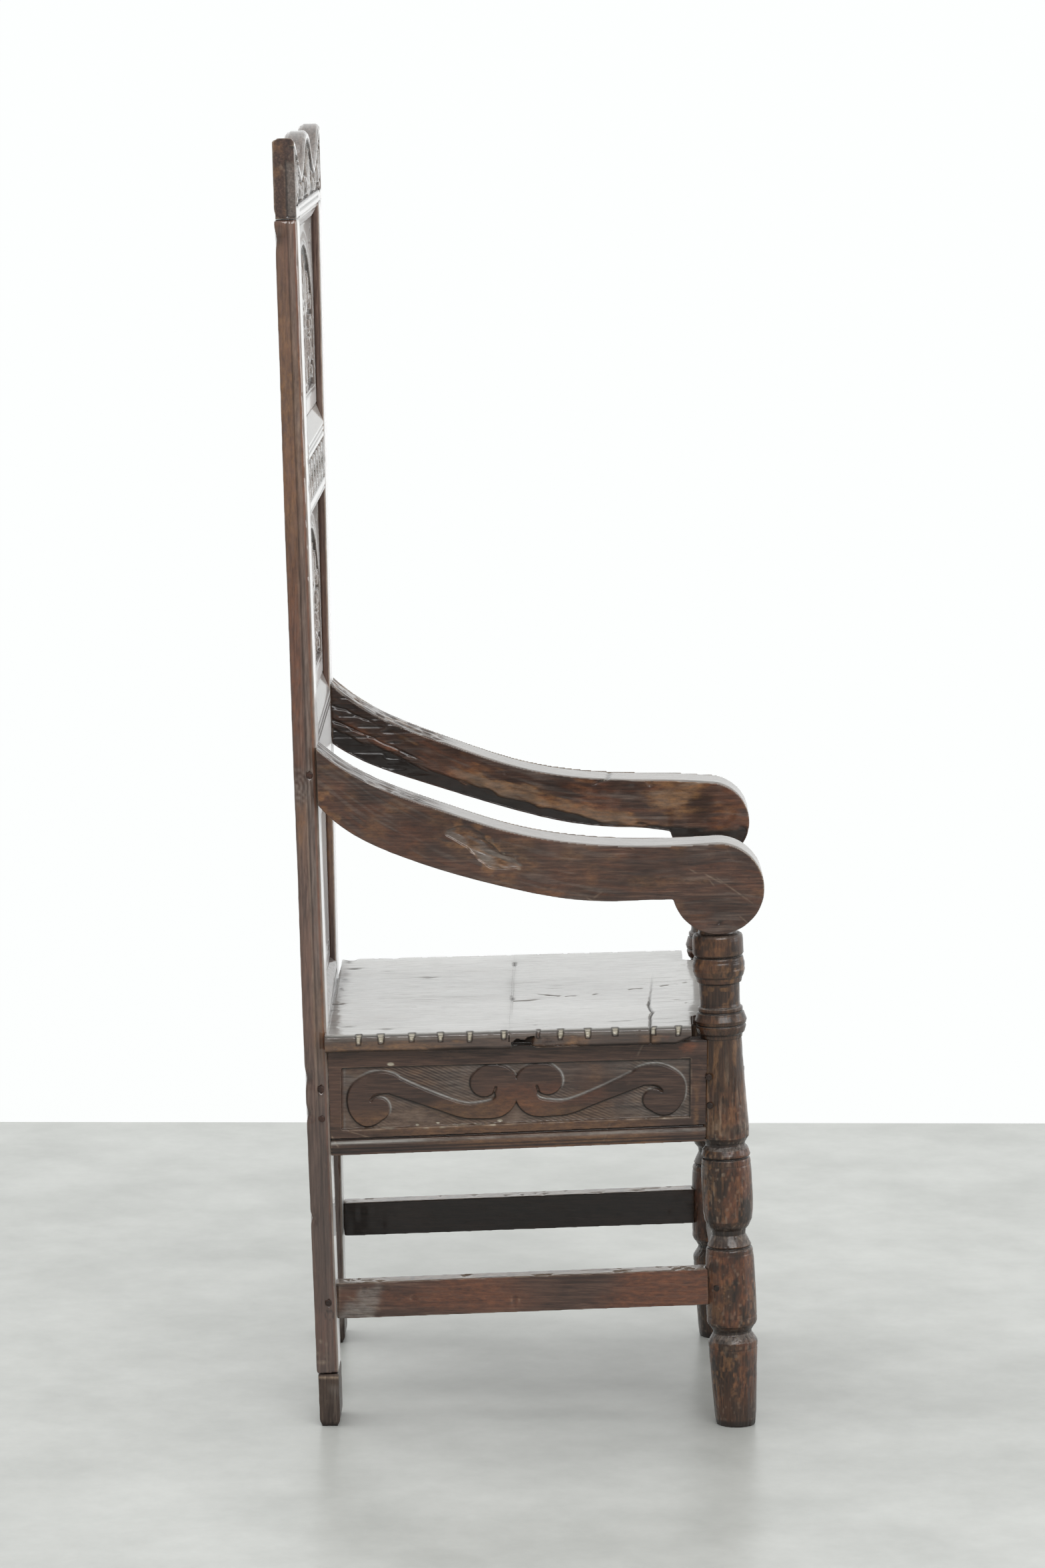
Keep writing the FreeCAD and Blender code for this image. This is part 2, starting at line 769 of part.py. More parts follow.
def post(side):
    """A front post with its mortises, peg holes and top tenon."""
    turned = post_solid(side, 0).fuse(post_pin(side, 0)).removeSplitter()
    cuts = [bar.tenons(side, fit_gap)[1] for bar in (seat_bar, stretcher_bar)]
    cuts.extend(bar.tenons(fit_gap) for bar in (front_rail_bar, front_stretcher_bar))
    cuts.extend(side_pegs(side, peg_hole_gap) + front_pegs(peg_hole_gap))
    return above_floor(turned.cut(cuts))


def seat_rail(side):
    """A side seat rail, with a bead along its bottom edge and a sunk field."""
    rear_y = side.stile_front(seat_rail_bottom_rear)
    front_y = side.post_axis(seat_rail_top_front)
    outer = -seat_rail_outer
    bottom = (seat_rail_bottom_rear, seat_rail_bottom_front)
    top = (seat_rail_top_rear, seat_rail_top_front)

    def level(y, heights):
        """A height on the straight line between the rail's rear and front ends."""
        rear_z, front_z = heights
        return rear_z + (front_z - rear_z) * (y - rear_y) / (front_y - rear_y)

    def strip(y0, y1, low, high, depth):
        """A strip taken off the outer face, between two lines of (heights, offset)."""
        corners = (
            (y0, level(y0, low[0]) + low[1]),
            (y0, level(y0, high[0]) + high[1]),
            (y1, level(y1, high[0]) + high[1]),
            (y1, level(y1, low[0]) + low[1]),
        )
        return side.on_own_side(prism_across(corners, outer - overrun, outer + depth))

    bead_top = bead_fillet + bead_height
    back = rear_y + overrun
    front = front_y - overrun
    field_back = side.stile_front(seat_rail_top_rear) - sunk_border_end
    field_front = front_y + post_radius + sunk_border_end
    cuts = [
        strip(back, front, (bottom, bead_top), (bottom, bead_top + quirk_depth), quirk_depth),
        strip(back, front, (bottom, bead_fillet - quirk_depth / 2), (bottom, bead_fillet), quirk_depth / 2),
        strip(field_back, field_front, (bottom, bead_top + sunk_border_bottom), (top, -sunk_border_top),
              sunk_depth),
    ]
    return seat_bar.solid(side).cut(cuts + side_pegs(side, peg_hole_gap))


def stretcher(side):
    return stretcher_bar.solid(side).cut(side_pegs(side, peg_hole_gap))


# Seat
def seat_top(y):
    """The height of the seat's upper face, which follows the side rails."""
    rear_y = right.stile_front(seat_rail_top_rear)
    front_y = right.post_axis(seat_rail_top_front)
    rise = (seat_rail_top_front - seat_rail_top_rear) * (y - rear_y) / (front_y - rear_y)
    return seat_rail_top_rear + rise + seat_thickness + fit_gap * 2


def seat_board(rear_y, front_y):
    """One board across the seat, with both side edges rounded over."""
    half = seat_side
    section = (
        (rear_y, seat_top(rear_y)),
        (front_y, seat_top(front_y)),
        (front_y, seat_top(front_y) - seat_thickness),
        (rear_y, seat_top(rear_y) - seat_thickness),
    )
    board = prism_across(section, -half, half)
    edges = []
    for edge in board.Edges:
        box = edge.BoundBox
        on_side = box.XLength < fit_gap and abs(abs(box.XMin) - half) < fit_gap
        if on_side and box.YLength > seat_thickness and box.ZMin > seat_top(rear_y) - seat_thickness / 2:
            edges.append(edge)
    return board.makeFillet(seat_edge_round, edges)


def seat_notch(side):
    """What is cut from a front corner of the seat to clear its post."""
    z = seat_top(-seat_front_forward)
    back_y = side.post_axis(z) + post_radius + seat_notch_gap
    side_x = -post_x + post_radius + seat_notch_gap
    corner = block(-seat_side - overrun, side_x, -seat_front_forward - overrun, back_y, z - overrun, z + overrun)
    upright = [edge for edge in corner.Edges
               if edge.BoundBox.ZLength > overrun and abs(edge.BoundBox.XMin - side_x) < fit_gap
               and abs(edge.BoundBox.YMin - back_y) < fit_gap]
    return side.on_own_side(corner.makeFillet(seat_corner_radius, upright))


def build_side(side, name):
    return {
        f"stile_{name}": stile(side),
        f"foot_{name}": foot(side),
        f"arm_{name}": arm(side),
        f"front_post_{name}": post(side),
        f"seat_rail_{name}": seat_rail(side),
        f"stretcher_{name}": stretcher(side),
        f"pegs_{name}": Part.Compound(side_pegs(side, 0)),
    }


def build_back():
    holes = all_back_pegs(peg_hole_gap)
    grooves = panel_grooves()
    pieces = {}
    sockets = [crest_socket(side) for side in sides.values()]
    pieces["crest_rail"] = set_across(crest(), stile_height).cut(sockets + grooves + holes)
    for name, (bottom, height) in back_rails.items():
        rail = back_rail(bottom, height, name != "rail_seat_back")
        pieces[name] = set_across(rail, bottom + height / 2).cut(grooves + holes)
    for name, (low, high) in panel_openings.items():
        pieces[name] = set_across(panel(low, high, name != "panel_lower"), (low + high) / 2)
    pieces["pegs_back"] = Part.Compound(all_back_pegs(0))
    return pieces


def build_front():
    holes = front_pegs(peg_hole_gap)
    return {
        "seat_rail_front": front_rail_bar.solid().cut(holes),
        "stretcher_front": front_stretcher_bar.solid().cut(holes),
        "pegs_front": Part.Compound(front_pegs(0)),
    }


def build_seat():
    rear_y = min(side.stile_front(seat_rail_top_rear) for side in sides.values()) - fit_gap * 2
    front = seat_board(-seat_joint_forward - fit_gap, -seat_front_forward)
    return {
        "seat_board_rear": seat_board(rear_y, -seat_joint_forward),
        "seat_board_front": front.cut([seat_notch(side) for side in sides.values()]),
    }


def main():
    pieces = {}
    for name, side in sides.items():
        pieces.update(build_side(side, name))
    pieces.update(build_back())
    pieces.update(build_front())
    pieces.update(build_seat())
    box = Part.Compound(list(pieces.values())).optimalBoundingBox(False, False)
    os.makedirs("parts", exist_ok=True)
    for name, shape in pieces.items():
        placed = shape.copy()
        placed.translate(V(0, -box.Center.y, -box.ZMin))
        placed.exportStep(f"parts/{name}.step")
        print(name, len(placed.Solids), round(placed.Volume / 1000), placed.isValid())
    print("size", box.XLength, box.YLength, box.ZLength, "lowest", box.ZMin, "centre y", box.Center.y)


main()
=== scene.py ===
import math
from collections import namedtuple

import bpy
import numpy as np
from mathutils import Matrix, Vector


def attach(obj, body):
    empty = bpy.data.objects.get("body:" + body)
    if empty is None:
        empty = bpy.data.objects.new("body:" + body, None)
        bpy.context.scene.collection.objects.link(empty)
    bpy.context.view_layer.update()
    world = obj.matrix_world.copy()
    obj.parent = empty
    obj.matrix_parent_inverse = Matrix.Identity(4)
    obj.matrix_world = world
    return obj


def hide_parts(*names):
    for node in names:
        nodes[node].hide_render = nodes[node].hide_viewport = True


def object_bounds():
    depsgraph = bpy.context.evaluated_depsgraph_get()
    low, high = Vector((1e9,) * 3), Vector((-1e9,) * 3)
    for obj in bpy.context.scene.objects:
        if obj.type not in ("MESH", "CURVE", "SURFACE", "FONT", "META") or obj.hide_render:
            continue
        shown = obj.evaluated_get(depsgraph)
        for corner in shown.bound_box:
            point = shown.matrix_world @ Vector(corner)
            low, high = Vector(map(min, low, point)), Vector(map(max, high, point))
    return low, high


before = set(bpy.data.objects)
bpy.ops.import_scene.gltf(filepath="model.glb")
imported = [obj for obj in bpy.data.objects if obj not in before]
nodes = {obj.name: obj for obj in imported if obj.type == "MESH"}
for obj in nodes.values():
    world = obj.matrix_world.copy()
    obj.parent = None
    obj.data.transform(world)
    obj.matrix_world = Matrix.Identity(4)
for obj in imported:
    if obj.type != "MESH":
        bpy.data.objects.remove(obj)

cad_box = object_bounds()
MM = 0.001
SHIFT = 216.429  # the frame's origin lies this far in front of the build frame's, in millimetres


# ---- noise for shaping
def most(*shapes):
    """The highest of several shapes, point by point."""
    return np.maximum.reduce(shapes)


LATTICES = [np.random.default_rng(seed).random((32, 32, 32)) for seed in range(4)]


def noise(points, scale, seed=0, stretch=(1, 1, 1)):
    """Smooth value noise in -1..1 at points in millimetres, with features about scale across."""
    p = points / (scale * np.array(stretch)) + seed * 7.31
    i = np.floor(p).astype(int)
    f = p - i
    f = f * f * (3 - 2 * f)
    grid = LATTICES[seed % 4]
    out = np.zeros(len(p))
    for dx in (0, 1):
        wx = f[:, 0] if dx else 1 - f[:, 0]
        for dy in (0, 1):
            wy = f[:, 1] if dy else 1 - f[:, 1]
            for dz in (0, 1):
                wz = f[:, 2] if dz else 1 - f[:, 2]
                out += wx * wy * wz * grid[(i[:, 0] + dx) % 32, (i[:, 1] + dy) % 32, (i[:, 2] + dz) % 32]
    return out * 2 - 1


def smooth(edge0, edge1, x):
    """An S-shaped step from 0 at edge0 to 1 at edge1."""
    t = np.clip((x - edge0) / (edge1 - edge0), 0, 1)
    return t * t * (3 - 2 * t)


def cloudy(low, high, *noise_values):
    """Patches of noise: 0 where it is under low and 1 over high."""
    return smooth(low, high, noise(*noise_values))


def bell(x, centre, width):
    return np.exp(-((x - centre) / width) ** 2)


# what each column of a mesh's paint stands for; an eighth is there because both colour layers have four
# DARK holds dirt and painted shade, GREY weathering and painted sheen, and the seventh column is painted
# glare
PALE, OCHRE, DARK, GREY, CHIP, RUST, GLARE = range(7)


# ---- worn meshes from the CAD nodes
def add(name, data):
    """A new object in the scene."""
    obj = bpy.data.objects.new(name, data)
    bpy.context.scene.collection.objects.link(obj)
    return obj


def read(mesh, label):
    """Three numbers for each point of a mesh: its place (co) or its normal."""
    flat = np.empty(len(mesh.vertices) * 3)
    mesh.vertices.foreach_get(label, flat)
    return flat.reshape(-1, 3)


class Wood:
    """A dense mesh over a CAD node, with its points in millimetres in the build frame. Its voxels are longer
    along an axis that is squeezed."""

    def __init__(self, node, voxel, rounds=2, squeeze=(1, 1, 1)):
        mesh = nodes[node].data.copy()
        mesh.transform(Matrix.Diagonal((*squeeze, 1)))
        obj = add(node + "_wood", mesh)
        remesh = obj.modifiers.new("Remesh", "REMESH")
        remesh.mode = "VOXEL"
        remesh.voxel_size = voxel * MM
        relax = obj.modifiers.new("Relax", "SMOOTH")
        relax.factor = 0.5
        relax.iterations = rounds
        dense = bpy.data.meshes.new_from_object(obj.evaluated_get(bpy.context.evaluated_depsgraph_get()))
        obj.modifiers.clear()
        obj.data = dense
        bpy.data.meshes.remove(mesh)
        dense.transform(Matrix.Diagonal((1 / squeeze[0], 1 / squeeze[1], 1 / squeeze[2], 1)))
        self.start(obj, node)

    def start(self, obj, node):
        """Takes the points and normals of an object that stands for a node."""
        self.obj, self.node = obj, node
        mesh = obj.data
        mesh.update()
        self.p = read(mesh, "co") / MM
        self.p[:, 1] -= SHIFT
        self.n = read(mesh, "normal")
        self.first = self.p.copy()
        self.paint = np.zeros((len(self.p), 8))

    def push(self, depth):
        """Moves the points along their normals, inwards where depth is negative."""
        self.p += self.n * depth[:, None]

    def daub(self, channel, amount):
        """Adds one kind of paint, keeping what is already stronger; the kinds are worn tones, dirt, painted
        shade, painted sheen and painted glare.
        """
        self.paint[:, channel] = np.clip(np.maximum(self.paint[:, channel], amount), 0, 1)

    def cut(self, mark, depth, dark):
        """Sinks a mark into the surface and darkens it."""
        self.push(-depth * mark)
        self.daub(DARK, dark * mark)

    def hollows(self, rounds):
        """How far each point lies under the surface around it: positive in grooves, negative on edges."""
        mesh = self.obj.data
        ends = np.empty(len(mesh.edges) * 2, np.int32)
        mesh.edges.foreach_get("vertices", ends)
        a, b = ends.reshape(-1, 2).T
        count = len(self.p)
        share = 1 / np.maximum(np.bincount(a, minlength=count) + np.bincount(b, minlength=count), 1)
        eased = self.p.copy()
        for _ in range(rounds):
            for axis in range(3):
                around = np.bincount(a, eased[b, axis], count) + np.bincount(b, eased[a, axis], count)
                eased[:, axis] = 0.4 * eased[:, axis] + 0.6 * around * share
        mesh.vertices.foreach_set("co", self.p.ravel())
        mesh.update()
        return np.sum((eased - self.p) * read(mesh, "normal"), axis=1)

    def age_edges(self, rounds=10, rub=0.5, dirt_and_shade=0.7, reach=0.25, tone=PALE, where=1.0):
        """Rubs the raised edges to another tone and darkens the hollows with dirt and painted shade."""
        depth = self.hollows(rounds)
        broken = 0.55 + 0.6 * noise(self.first, 9, 2)
        self.daub(DARK, where * dirt_and_shade * smooth(0.25 * reach, 1.6 * reach, depth))
        self.daub(tone, where * rub * smooth(0.3 * reach, 1.8 * reach, -depth) * np.clip(broken, 0, 1))

    def done(self, material, slot="oak_frame"):
        """Writes the points and the paint, and hands the piece to the frame."""
        mesh = self.obj.data
        points = np.clip((self.p + (0, SHIFT, 0)) * MM, cad_box[0], cad_box[1])
        mesh.vertices.foreach_set("co", points.ravel())
        for label, columns in (("wear_shade_and_sheen", self.paint[:, :4]), ("marks", self.paint[:, 4:])):
            layer = mesh.attributes.new(label, "FLOAT_COLOR", "POINT")
            layer.data.foreach_set("color", np.ascontiguousarray(columns).ravel())
        mesh.polygons.foreach_set("use_smooth", [True] * len(mesh.polygons))
        mesh.materials.clear()
        mesh.materials.append(material)
        mesh.update()
        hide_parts(self.node)
        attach(self.obj, "root")


def facing(wood, axis, sign, low=0.5, high=0.9):
    """1 on the sides of a piece that look along an axis of the given sign."""
    return smooth(low, high, sign * wood.n[:, axis])


class Turned(Wood):
    """A mesh turned about a leaning axis from a half outline of (distance along the axis, radius)."""

    def __init__(self, node, foot, lean, outline, around=150, step=0.55):
        runs = [outline[0]]
        for (s0, r0), (s1, r1) in zip(outline, outline[1:]):
            parts = max(1, int(math.hypot(s1 - s0, r1 - r0) / step))
            runs += [(s0 + (s1 - s0) * i / parts, r0 + (r1 - r0) * i / parts) for i in range(1, parts + 1)]
        along = np.array([s for s, _ in runs])
        radius = np.array([r for _, r in runs])
        turn = np.arange(around) * 2 * math.pi / around
        axis = np.array([0, math.sin(math.radians(lean)), math.cos(math.radians(lean))])
        side = np.array([1.0, 0, 0])
        back = np.cross(axis, side)
        level = np.ones((len(runs), 1, 3))  # the lowest rings lie level on the floor, for all the lean
        level[:, 0, 2] = smooth(0, 20, along)
        spots = (np.array(foot) + along[:, None, None] * axis
                 + radius[:, None, None] * np.cos(turn)[None, :, None] * side
                 + radius[:, None, None] * np.sin(turn)[None, :, None] * back * level)
        spots = spots.reshape(-1, 3)
        last = len(runs) - 1
        faces = [(i * around + j, i * around + (j + 1) % around, (i + 1) * around + (j + 1) % around,
                  (i + 1) * around + j) for i in range(last) for j in range(around)]
        faces += [tuple(range(around))[::-1], tuple(last * around + j for j in range(around))]
        spots[:, 1] += SHIFT
        mesh = bpy.data.meshes.new(node + "_wood")
        mesh.from_pydata((spots * MM).tolist(), [], faces)
        obj = add(node + "_wood", mesh)
        self.start(obj, node)
        self.along = np.repeat(along, around)
        self.radius = np.repeat(radius, around)


# ---- plane shapes for carving, in millimetres
def line_points(points, count=24):
    """A smooth run through a few points (Catmull-Rom), with any further columns carried along."""
    points = np.array(points, float)
    padded = np.vstack([2 * points[0] - points[1], points, 2 * points[-1] - points[-2]])
    t = np.linspace(0, 1, count, endpoint=False)[:, None]
    runs = []
    for a, b, c, d in zip(padded, padded[1:], padded[2:], padded[3:]):
        square, cube = 2 * a - 5 * b + 4 * c - d, 3 * b - a - 3 * c + d
        runs.append(0.5 * (2 * b + (c - a) * t + square * t ** 2 + cube * t ** 3))
    runs.append(points[-1:])
    return np.vstack(runs)


def ribbon(u, v, path, count=24):
    """Signed distance to a band whose half width is the path's third column: negative inside."""
    best = np.full(len(u), 1e9)
    for x, y, r in line_points(path, count):
        best = np.minimum(best, np.hypot(u - x, v - y) - r)
    return best


def groove(u, v, path, count=16):
    """Distance to a line."""
    best = np.full(len(u), 1e9)
    for x, y in line_points(path, count):
        best = np.minimum(best, np.hypot(u - x, v - y))
    return best


def leaf(u, v, base, tip, width, vein=0.6):
    """Height 0..1 of a carved leaf from base to tip, with a hollowed middle vein."""
    du, dv = tip[0] - base[0], tip[1] - base[1]
    length = math.hypot(du, dv)
    t = ((u - base[0]) * du + (v - base[1]) * dv) / length ** 2
    side = np.abs((u - base[0]) * dv - (v - base[1]) * du) / length
    half = width * np.sin(np.pi * np.clip(t, 0.001, 0.999) ** 0.75) + 0.01
    inside = np.clip(1 - side / half, 0, 1) * ((t > 0) & (t < 1))
    body = smooth(0, 0.38, inside)
    return body * (1 - vein * bell(side, 0, 0.22 * width) * smooth(0.04, 0.2, t) * smooth(1.0, 0.8, t))


def rosette(u, v, centre, radius, petals, turn=0.0):
    """Height 0..1 of a round flower with a boss in its middle."""
    x, y = u - centre[0], v - centre[1]
    r = np.hypot(x, y) / radius
    a = np.arctan2(y, x) + turn
    rim = 0.86 + 0.14 * np.cos(petals * a)
    height = smooth(rim, rim * 0.82, r) * (0.62 + 0.38 * np.cos(petals * a)) * smooth(0.2, 0.42, r)
    return np.maximum(height, smooth(0.27, 0.16, r))


def palmette(u, v, foot, radius, leaves, spread=2.5, turn=math.pi / 2, width=0.2):
    """Height 0..1 of a fan of leaves."""
    height = np.zeros(len(u))
    for i in range(leaves):
        a = turn + spread * (i / (leaves - 1) - 0.5)
        length = radius * (1 - 0.16 * abs(i / (leaves - 1) - 0.5) * 2)
        base = (foot[0] + 0.16 * radius * math.cos(a), foot[1] + 0.16 * radius * math.sin(a))
        tip = (foot[0] + length * math.cos(a), foot[1] + length * math.sin(a))
        height = np.maximum(height, leaf(u, v, base, tip, radius * width))
    return np.maximum(height, smooth(0.17 * radius, 0.1 * radius, np.hypot(u - foot[0], v - foot[1])))


# ---- materials
def link(tree, a, b):
    tree.links.new(a, b)


def dial(node, values):
    """Sets a node's uniform values."""
    for label, value in values.items():
        node.inputs[label].default_value = value


def set_ramp(node, stops):
    """Gives a colour ramp its stops of (place, colour)."""
    elements = node.color_ramp.elements
    while len(elements) < len(stops):
        elements.new(0.5)
    for element, (place, colour) in zip(elements, stops):
        element.position = place
        element.color = (*colour, 1)


def new_material(name):
    material = bpy.data.materials.new(name)
    material.use_nodes = True
    return material, material.node_tree


def oak(name, grain, dark, mid, light, patch, gloss=0.42, coat=0.7, polish=0.2, film=1.5, bloom=0.0,
        seed=0.0, cracked=False):
    """Old waxed oak: grain stretched along an axis, pores, patches of another tone, and the painted layers of
    worn tones, dirt, painted shade, painted sheen and painted glare. The wax is a coat with its own gloss
    (polish) and index (film), bloom is its haze at a flat angle, and cracked oak has lost its wax in the dark
    marks."""
    material, tree = new_material(name)
    tree.nodes.clear()

    def node(kind, **values):
        made = tree.nodes.new(kind)
        for key, value in values.items():
            setattr(made, key, value)
        return made

    def stretched(ratio, offset):
        mapping = node("ShaderNodeMapping")
        scale = [1.0 / ratio if axis == grain else 1.0 for axis in "XYZ"]
        dial(mapping, {"Scale": scale, "Location": (seed + offset, seed * 1.7, seed * 0.6 + offset)})
        link(tree, coords.outputs["Object"], mapping.inputs["Vector"])
        return mapping.outputs["Vector"]

    def cloud(vector, scale, detail, rough=0.55, distort=0.0):
        made = node("ShaderNodeTexNoise")
        dial(made, {"Scale": scale, "Detail": detail, "Roughness": rough, "Distortion": distort})
        link(tree, vector, made.inputs["Vector"])
        return made.outputs["Fac"]

    def ramp(value, stops):
        made = node("ShaderNodeValToRGB")
        set_ramp(made, stops)
        link(tree, value, made.inputs["Fac"])
        return made.outputs["Color"]

    def mix(factor, first, second):
        made = node("ShaderNodeMix", data_type="RGBA")
        link(tree, factor, made.inputs[0])
        for socket, value in ((made.inputs[6], first), (made.inputs[7], second)):
            if hasattr(value, "links"):
                link(tree, value, socket)
            else:
                socket.default_value = (*value, 1)
        return made.outputs[2]

    def calc(kind, first, second):
        made = node("ShaderNodeMath", operation=kind)
        for socket, value in zip(made.inputs, (first, second)):
            if hasattr(value, "links"):
                link(tree, value, socket)
            else:
                socket.default_value = value
        return made.outputs[0]

    def grey(low, high, value):
        made = node("ShaderNodeMapRange")
        dial(made, {"From Min": low, "From Max": high})
        link(tree, value, made.inputs["Value"])
        return made.outputs["Result"]

    coords = node("ShaderNodeTexCoord")
    fibres = cloud(stretched(18, 0.0), 420, 7, 0.62, 0.15)
    bands = cloud(stretched(9, 3.1), 55, 4, 0.5, 0.6)
    pores = cloud(stretched(26, 5.7), 1300, 3, 0.6)
    patches = cloud(stretched(2.2, 9.2), 13, 6, 0.62, 0.8)
    blotch = cloud(stretched(1.4, 4.4), 34, 7, 0.66, 0.5)
    dust = cloud(stretched(3.0, 7.9), 260, 5, 0.7)

    wood = ramp(fibres, [(0.30, dark), (0.50, mid), (0.72, light)])
    wood = mix(grey(0.35, 0.72, bands), wood, ramp(fibres, [(0.3, dark), (0.75, mid)]))
    patched, blotched = grey(0.50, 0.66, patches), grey(0.58, 0.70, blotch)
    wood = mix(calc("MULTIPLY", patched, 0.75), wood, ramp(fibres, [(0.28, mid), (0.7, patch)]))
    wood = mix(calc("MULTIPLY", blotched, 0.55), wood, ramp(dust, [(0.3, mid), (0.7, light)]))
    hole = (dark[0] * 0.45, dark[1] * 0.45, dark[2] * 0.5)
    wood = mix(calc("MULTIPLY", grey(0.56, 0.70, pores), 0.55), wood, hole)

    def painted(label):
        """The four channels of a painted layer."""
        layer = node("ShaderNodeAttribute", attribute_name=label)
        split = node("ShaderNodeSeparateColor")
        link(tree, layer.outputs["Color"], split.inputs["Color"])
        return [split.outputs[part] for part in ("Red", "Green", "Blue")] + [layer.outputs["Alpha"]]

    def scaled(value, gain, base):
        return calc("ADD", calc("MULTIPLY", value, gain), base)

    # the first painted layer's third channel holds dirt and painted shade and its fourth weathering and
    # painted sheen; the second layer's third channel is painted glare
    pale, ochre, dirt_and_shade, weathered = painted("wear_shade_and_sheen")
    chip, rust, glare, _ = painted("marks")
    ragged = grey(0.30, 0.62, dust)
    layers = ((pale, ragged, 0.7, 0.3, fibres, 0.3, (0.30, 0.21, 0.145), (0.52, 0.40, 0.29)),
              (ochre, ragged, 0.75, 0.2, dust, 0.3, (0.15, 0.068, 0.026), (0.33, 0.165, 0.068)),
              (rust, ragged, 0.7, 0.3, dust, 0.3, (0.13, 0.040, 0.018), (0.28, 0.095, 0.040)),
              (weathered, ragged, 0.6, 0.35, fibres, 0.3, (0.10, 0.088, 0.078), (0.30, 0.27, 0.24)),
              (glare, grey(0.2, 0.5, dust), 0.35, 0.65, fibres, 0.25, (0.31, 0.302, 0.278),
               (0.60, 0.592, 0.560)))
    for amount, uneven, gain, base, grit, start, deep, bright in layers:
        share = calc("MULTIPLY", amount, scaled(uneven, gain, base))
        wood = mix(share, wood, ramp(grit, [(start, deep), (0.7, bright)]))
    wood = mix(chip, wood, ramp(dust, [(0.3, (0.50, 0.44, 0.32)), (0.7, (0.70, 0.65, 0.52))]))
    wood = mix(calc("MULTIPLY", dirt_and_shade, 0.9), wood, (0.009, 0.007, 0.006))

    shader = node("ShaderNodeBsdfPrincipled")
    link(tree, wood, shader.inputs["Base Color"])
    rough = calc("ADD", scaled(grey(0.3, 0.7, blotch), 0.22, gloss), calc("MULTIPLY", dirt_and_shade, 0.25))
    link(tree, rough, shader.inputs["Roughness"])
    dial(shader, {"Specular IOR Level": 0.2, "Coat Weight": coat, "Coat Roughness": polish, "Coat IOR": film,
                  "Sheen Weight": bloom, "Sheen Roughness": 0.22})
    if cracked:
        link(tree, calc("MULTIPLY", calc("SUBTRACT", 1.0, dirt_and_shade), coat), shader.inputs["Coat Weight"])

    bump = node("ShaderNodeBump")
    dial(bump, {"Strength": 0.55, "Distance": 0.0006})
    height = calc("ADD", calc("MULTIPLY", fibres, 0.6), calc("MULTIPLY", grey(0.56, 0.72, pores), -0.5))
    height = calc("ADD", height, calc("MULTIPLY", dust, 0.35))
    link(tree, height, bump.inputs["Height"])
    link(tree, bump.outputs["Normal"], shader.inputs["Normal"])
    out = node("ShaderNodeOutputMaterial")
    link(tree, shader.outputs["BSDF"], out.inputs["Surface"])
    return material


SHADE = (0.022, 0.0112, 0.0080)
BODY = (0.074, 0.0370, 0.0255)
HIGH = (0.165, 0.094, 0.064)
upright_oak = oak("oak_upright", "Z", (0.058, 0.032, 0.024), (0.150, 0.088, 0.066), (0.26, 0.168, 0.128),
                  (0.215, 0.098, 0.066), coat=1.0, polish=0.05, film=1.65, bloom=0.9)
across_oak = oak("oak_across", "X", SHADE, BODY, HIGH, (0.12, 0.066, 0.042), coat=1.0, polish=0.05, film=1.65,
                 bloom=0.9, seed=2.0)
post_oak = oak("oak_post", "Z", (0.018, 0.009, 0.0055), (0.062, 0.031, 0.018), (0.150, 0.078, 0.044),
               (0.125, 0.050, 0.025), coat=0.8, polish=0.26, seed=3.0)
forward_oak = oak("oak_forward", "Y", SHADE, BODY, HIGH, (0.130, 0.066, 0.043), coat=0.85, polish=0.15,
                  bloom=0.4, seed=4.0)
seat_oak = oak("oak_seat", "Y", (0.030, 0.018, 0.013), (0.078, 0.047, 0.035), (0.16, 0.105, 0.08),
               (0.13, 0.078, 0.055), gloss=0.3, coat=1.0, polish=0.10, film=1.65, bloom=0.8, seed=6.0,
               cracked=True)
foot_oak = oak("oak_foot", "Z", (0.022, 0.014, 0.011), (0.060, 0.042, 0.034), (0.14, 0.104, 0.080),
               (0.09, 0.060, 0.044), coat=0.3, seed=8.0)
peg_oak = oak("oak_peg", "X", (0.012, 0.007, 0.005), (0.035, 0.020, 0.015), (0.08, 0.048, 0.036),
              (0.125, 0.046, 0.028), coat=0.4, seed=9.0)


# ---- where the CAD's faces lie, millimetres
# heel and foot: how far back the stile and how far forward the post stand on the floor; leans in degrees
Side = namedtuple("Side", "sign heel lean foot post_lean post_top lift")
RIGHT = Side(-1, 2.5, 1.78, 452.0, 2.39, 546.5, 0.0)
LEFT = Side(1, 13.0, 1.06, 441.5, 1.40, 561.0, 11.0)
SIDES = ((RIGHT, "right"), (LEFT, "left"))
STILE_THICK = 23.5
STILE_OUT = 229.0
STILE_IN = 162.0
STILE_TOP = 1310.0
SEAT_X = 245.0  # half the seat's width
POST_X = 208.0
SCROLL_Z = 595.2  # middle of the right arm's round end
RAIL_BOTTOM, RAIL_TOP = 299.5, 415.5  # of the side seat rails at the stile
BOTTOM_RISE, TOP_RISE = 17.5, 12.5  # from there to the post
BOARD_THICK = 19.5


def stile_back(side, z):
    return side.heel + z * math.tan(math.radians(side.lean))


def stile_front(side, z):
    return stile_back(side, z) - STILE_THICK


def post_axis(side, z):
    return -side.foot + z * math.tan(math.radians(side.post_lean))


def worn_all_over(wood, depth=0.35, seed=0, grain=(1, 1, 1), calm=0.0):
    """Slow undulation, small bruises and a few ochre patches; calm faces stay flatter."""
    p = wood.first
    loud = 1 - 0.85 * calm
    wood.push(loud * (depth * noise(p, 42, seed, grain) + depth * 0.35 * noise(p, 8, seed + 1)))
    dents = noise(p, 11, seed + 2) * noise(p, 60, seed + 3)
    wood.push(-0.9 * loud * smooth(0.42, 0.75, dents))
    wood.daub(OCHRE, 0.6 * cloudy(0.30, 0.62, p, 55, seed + 4, grain))


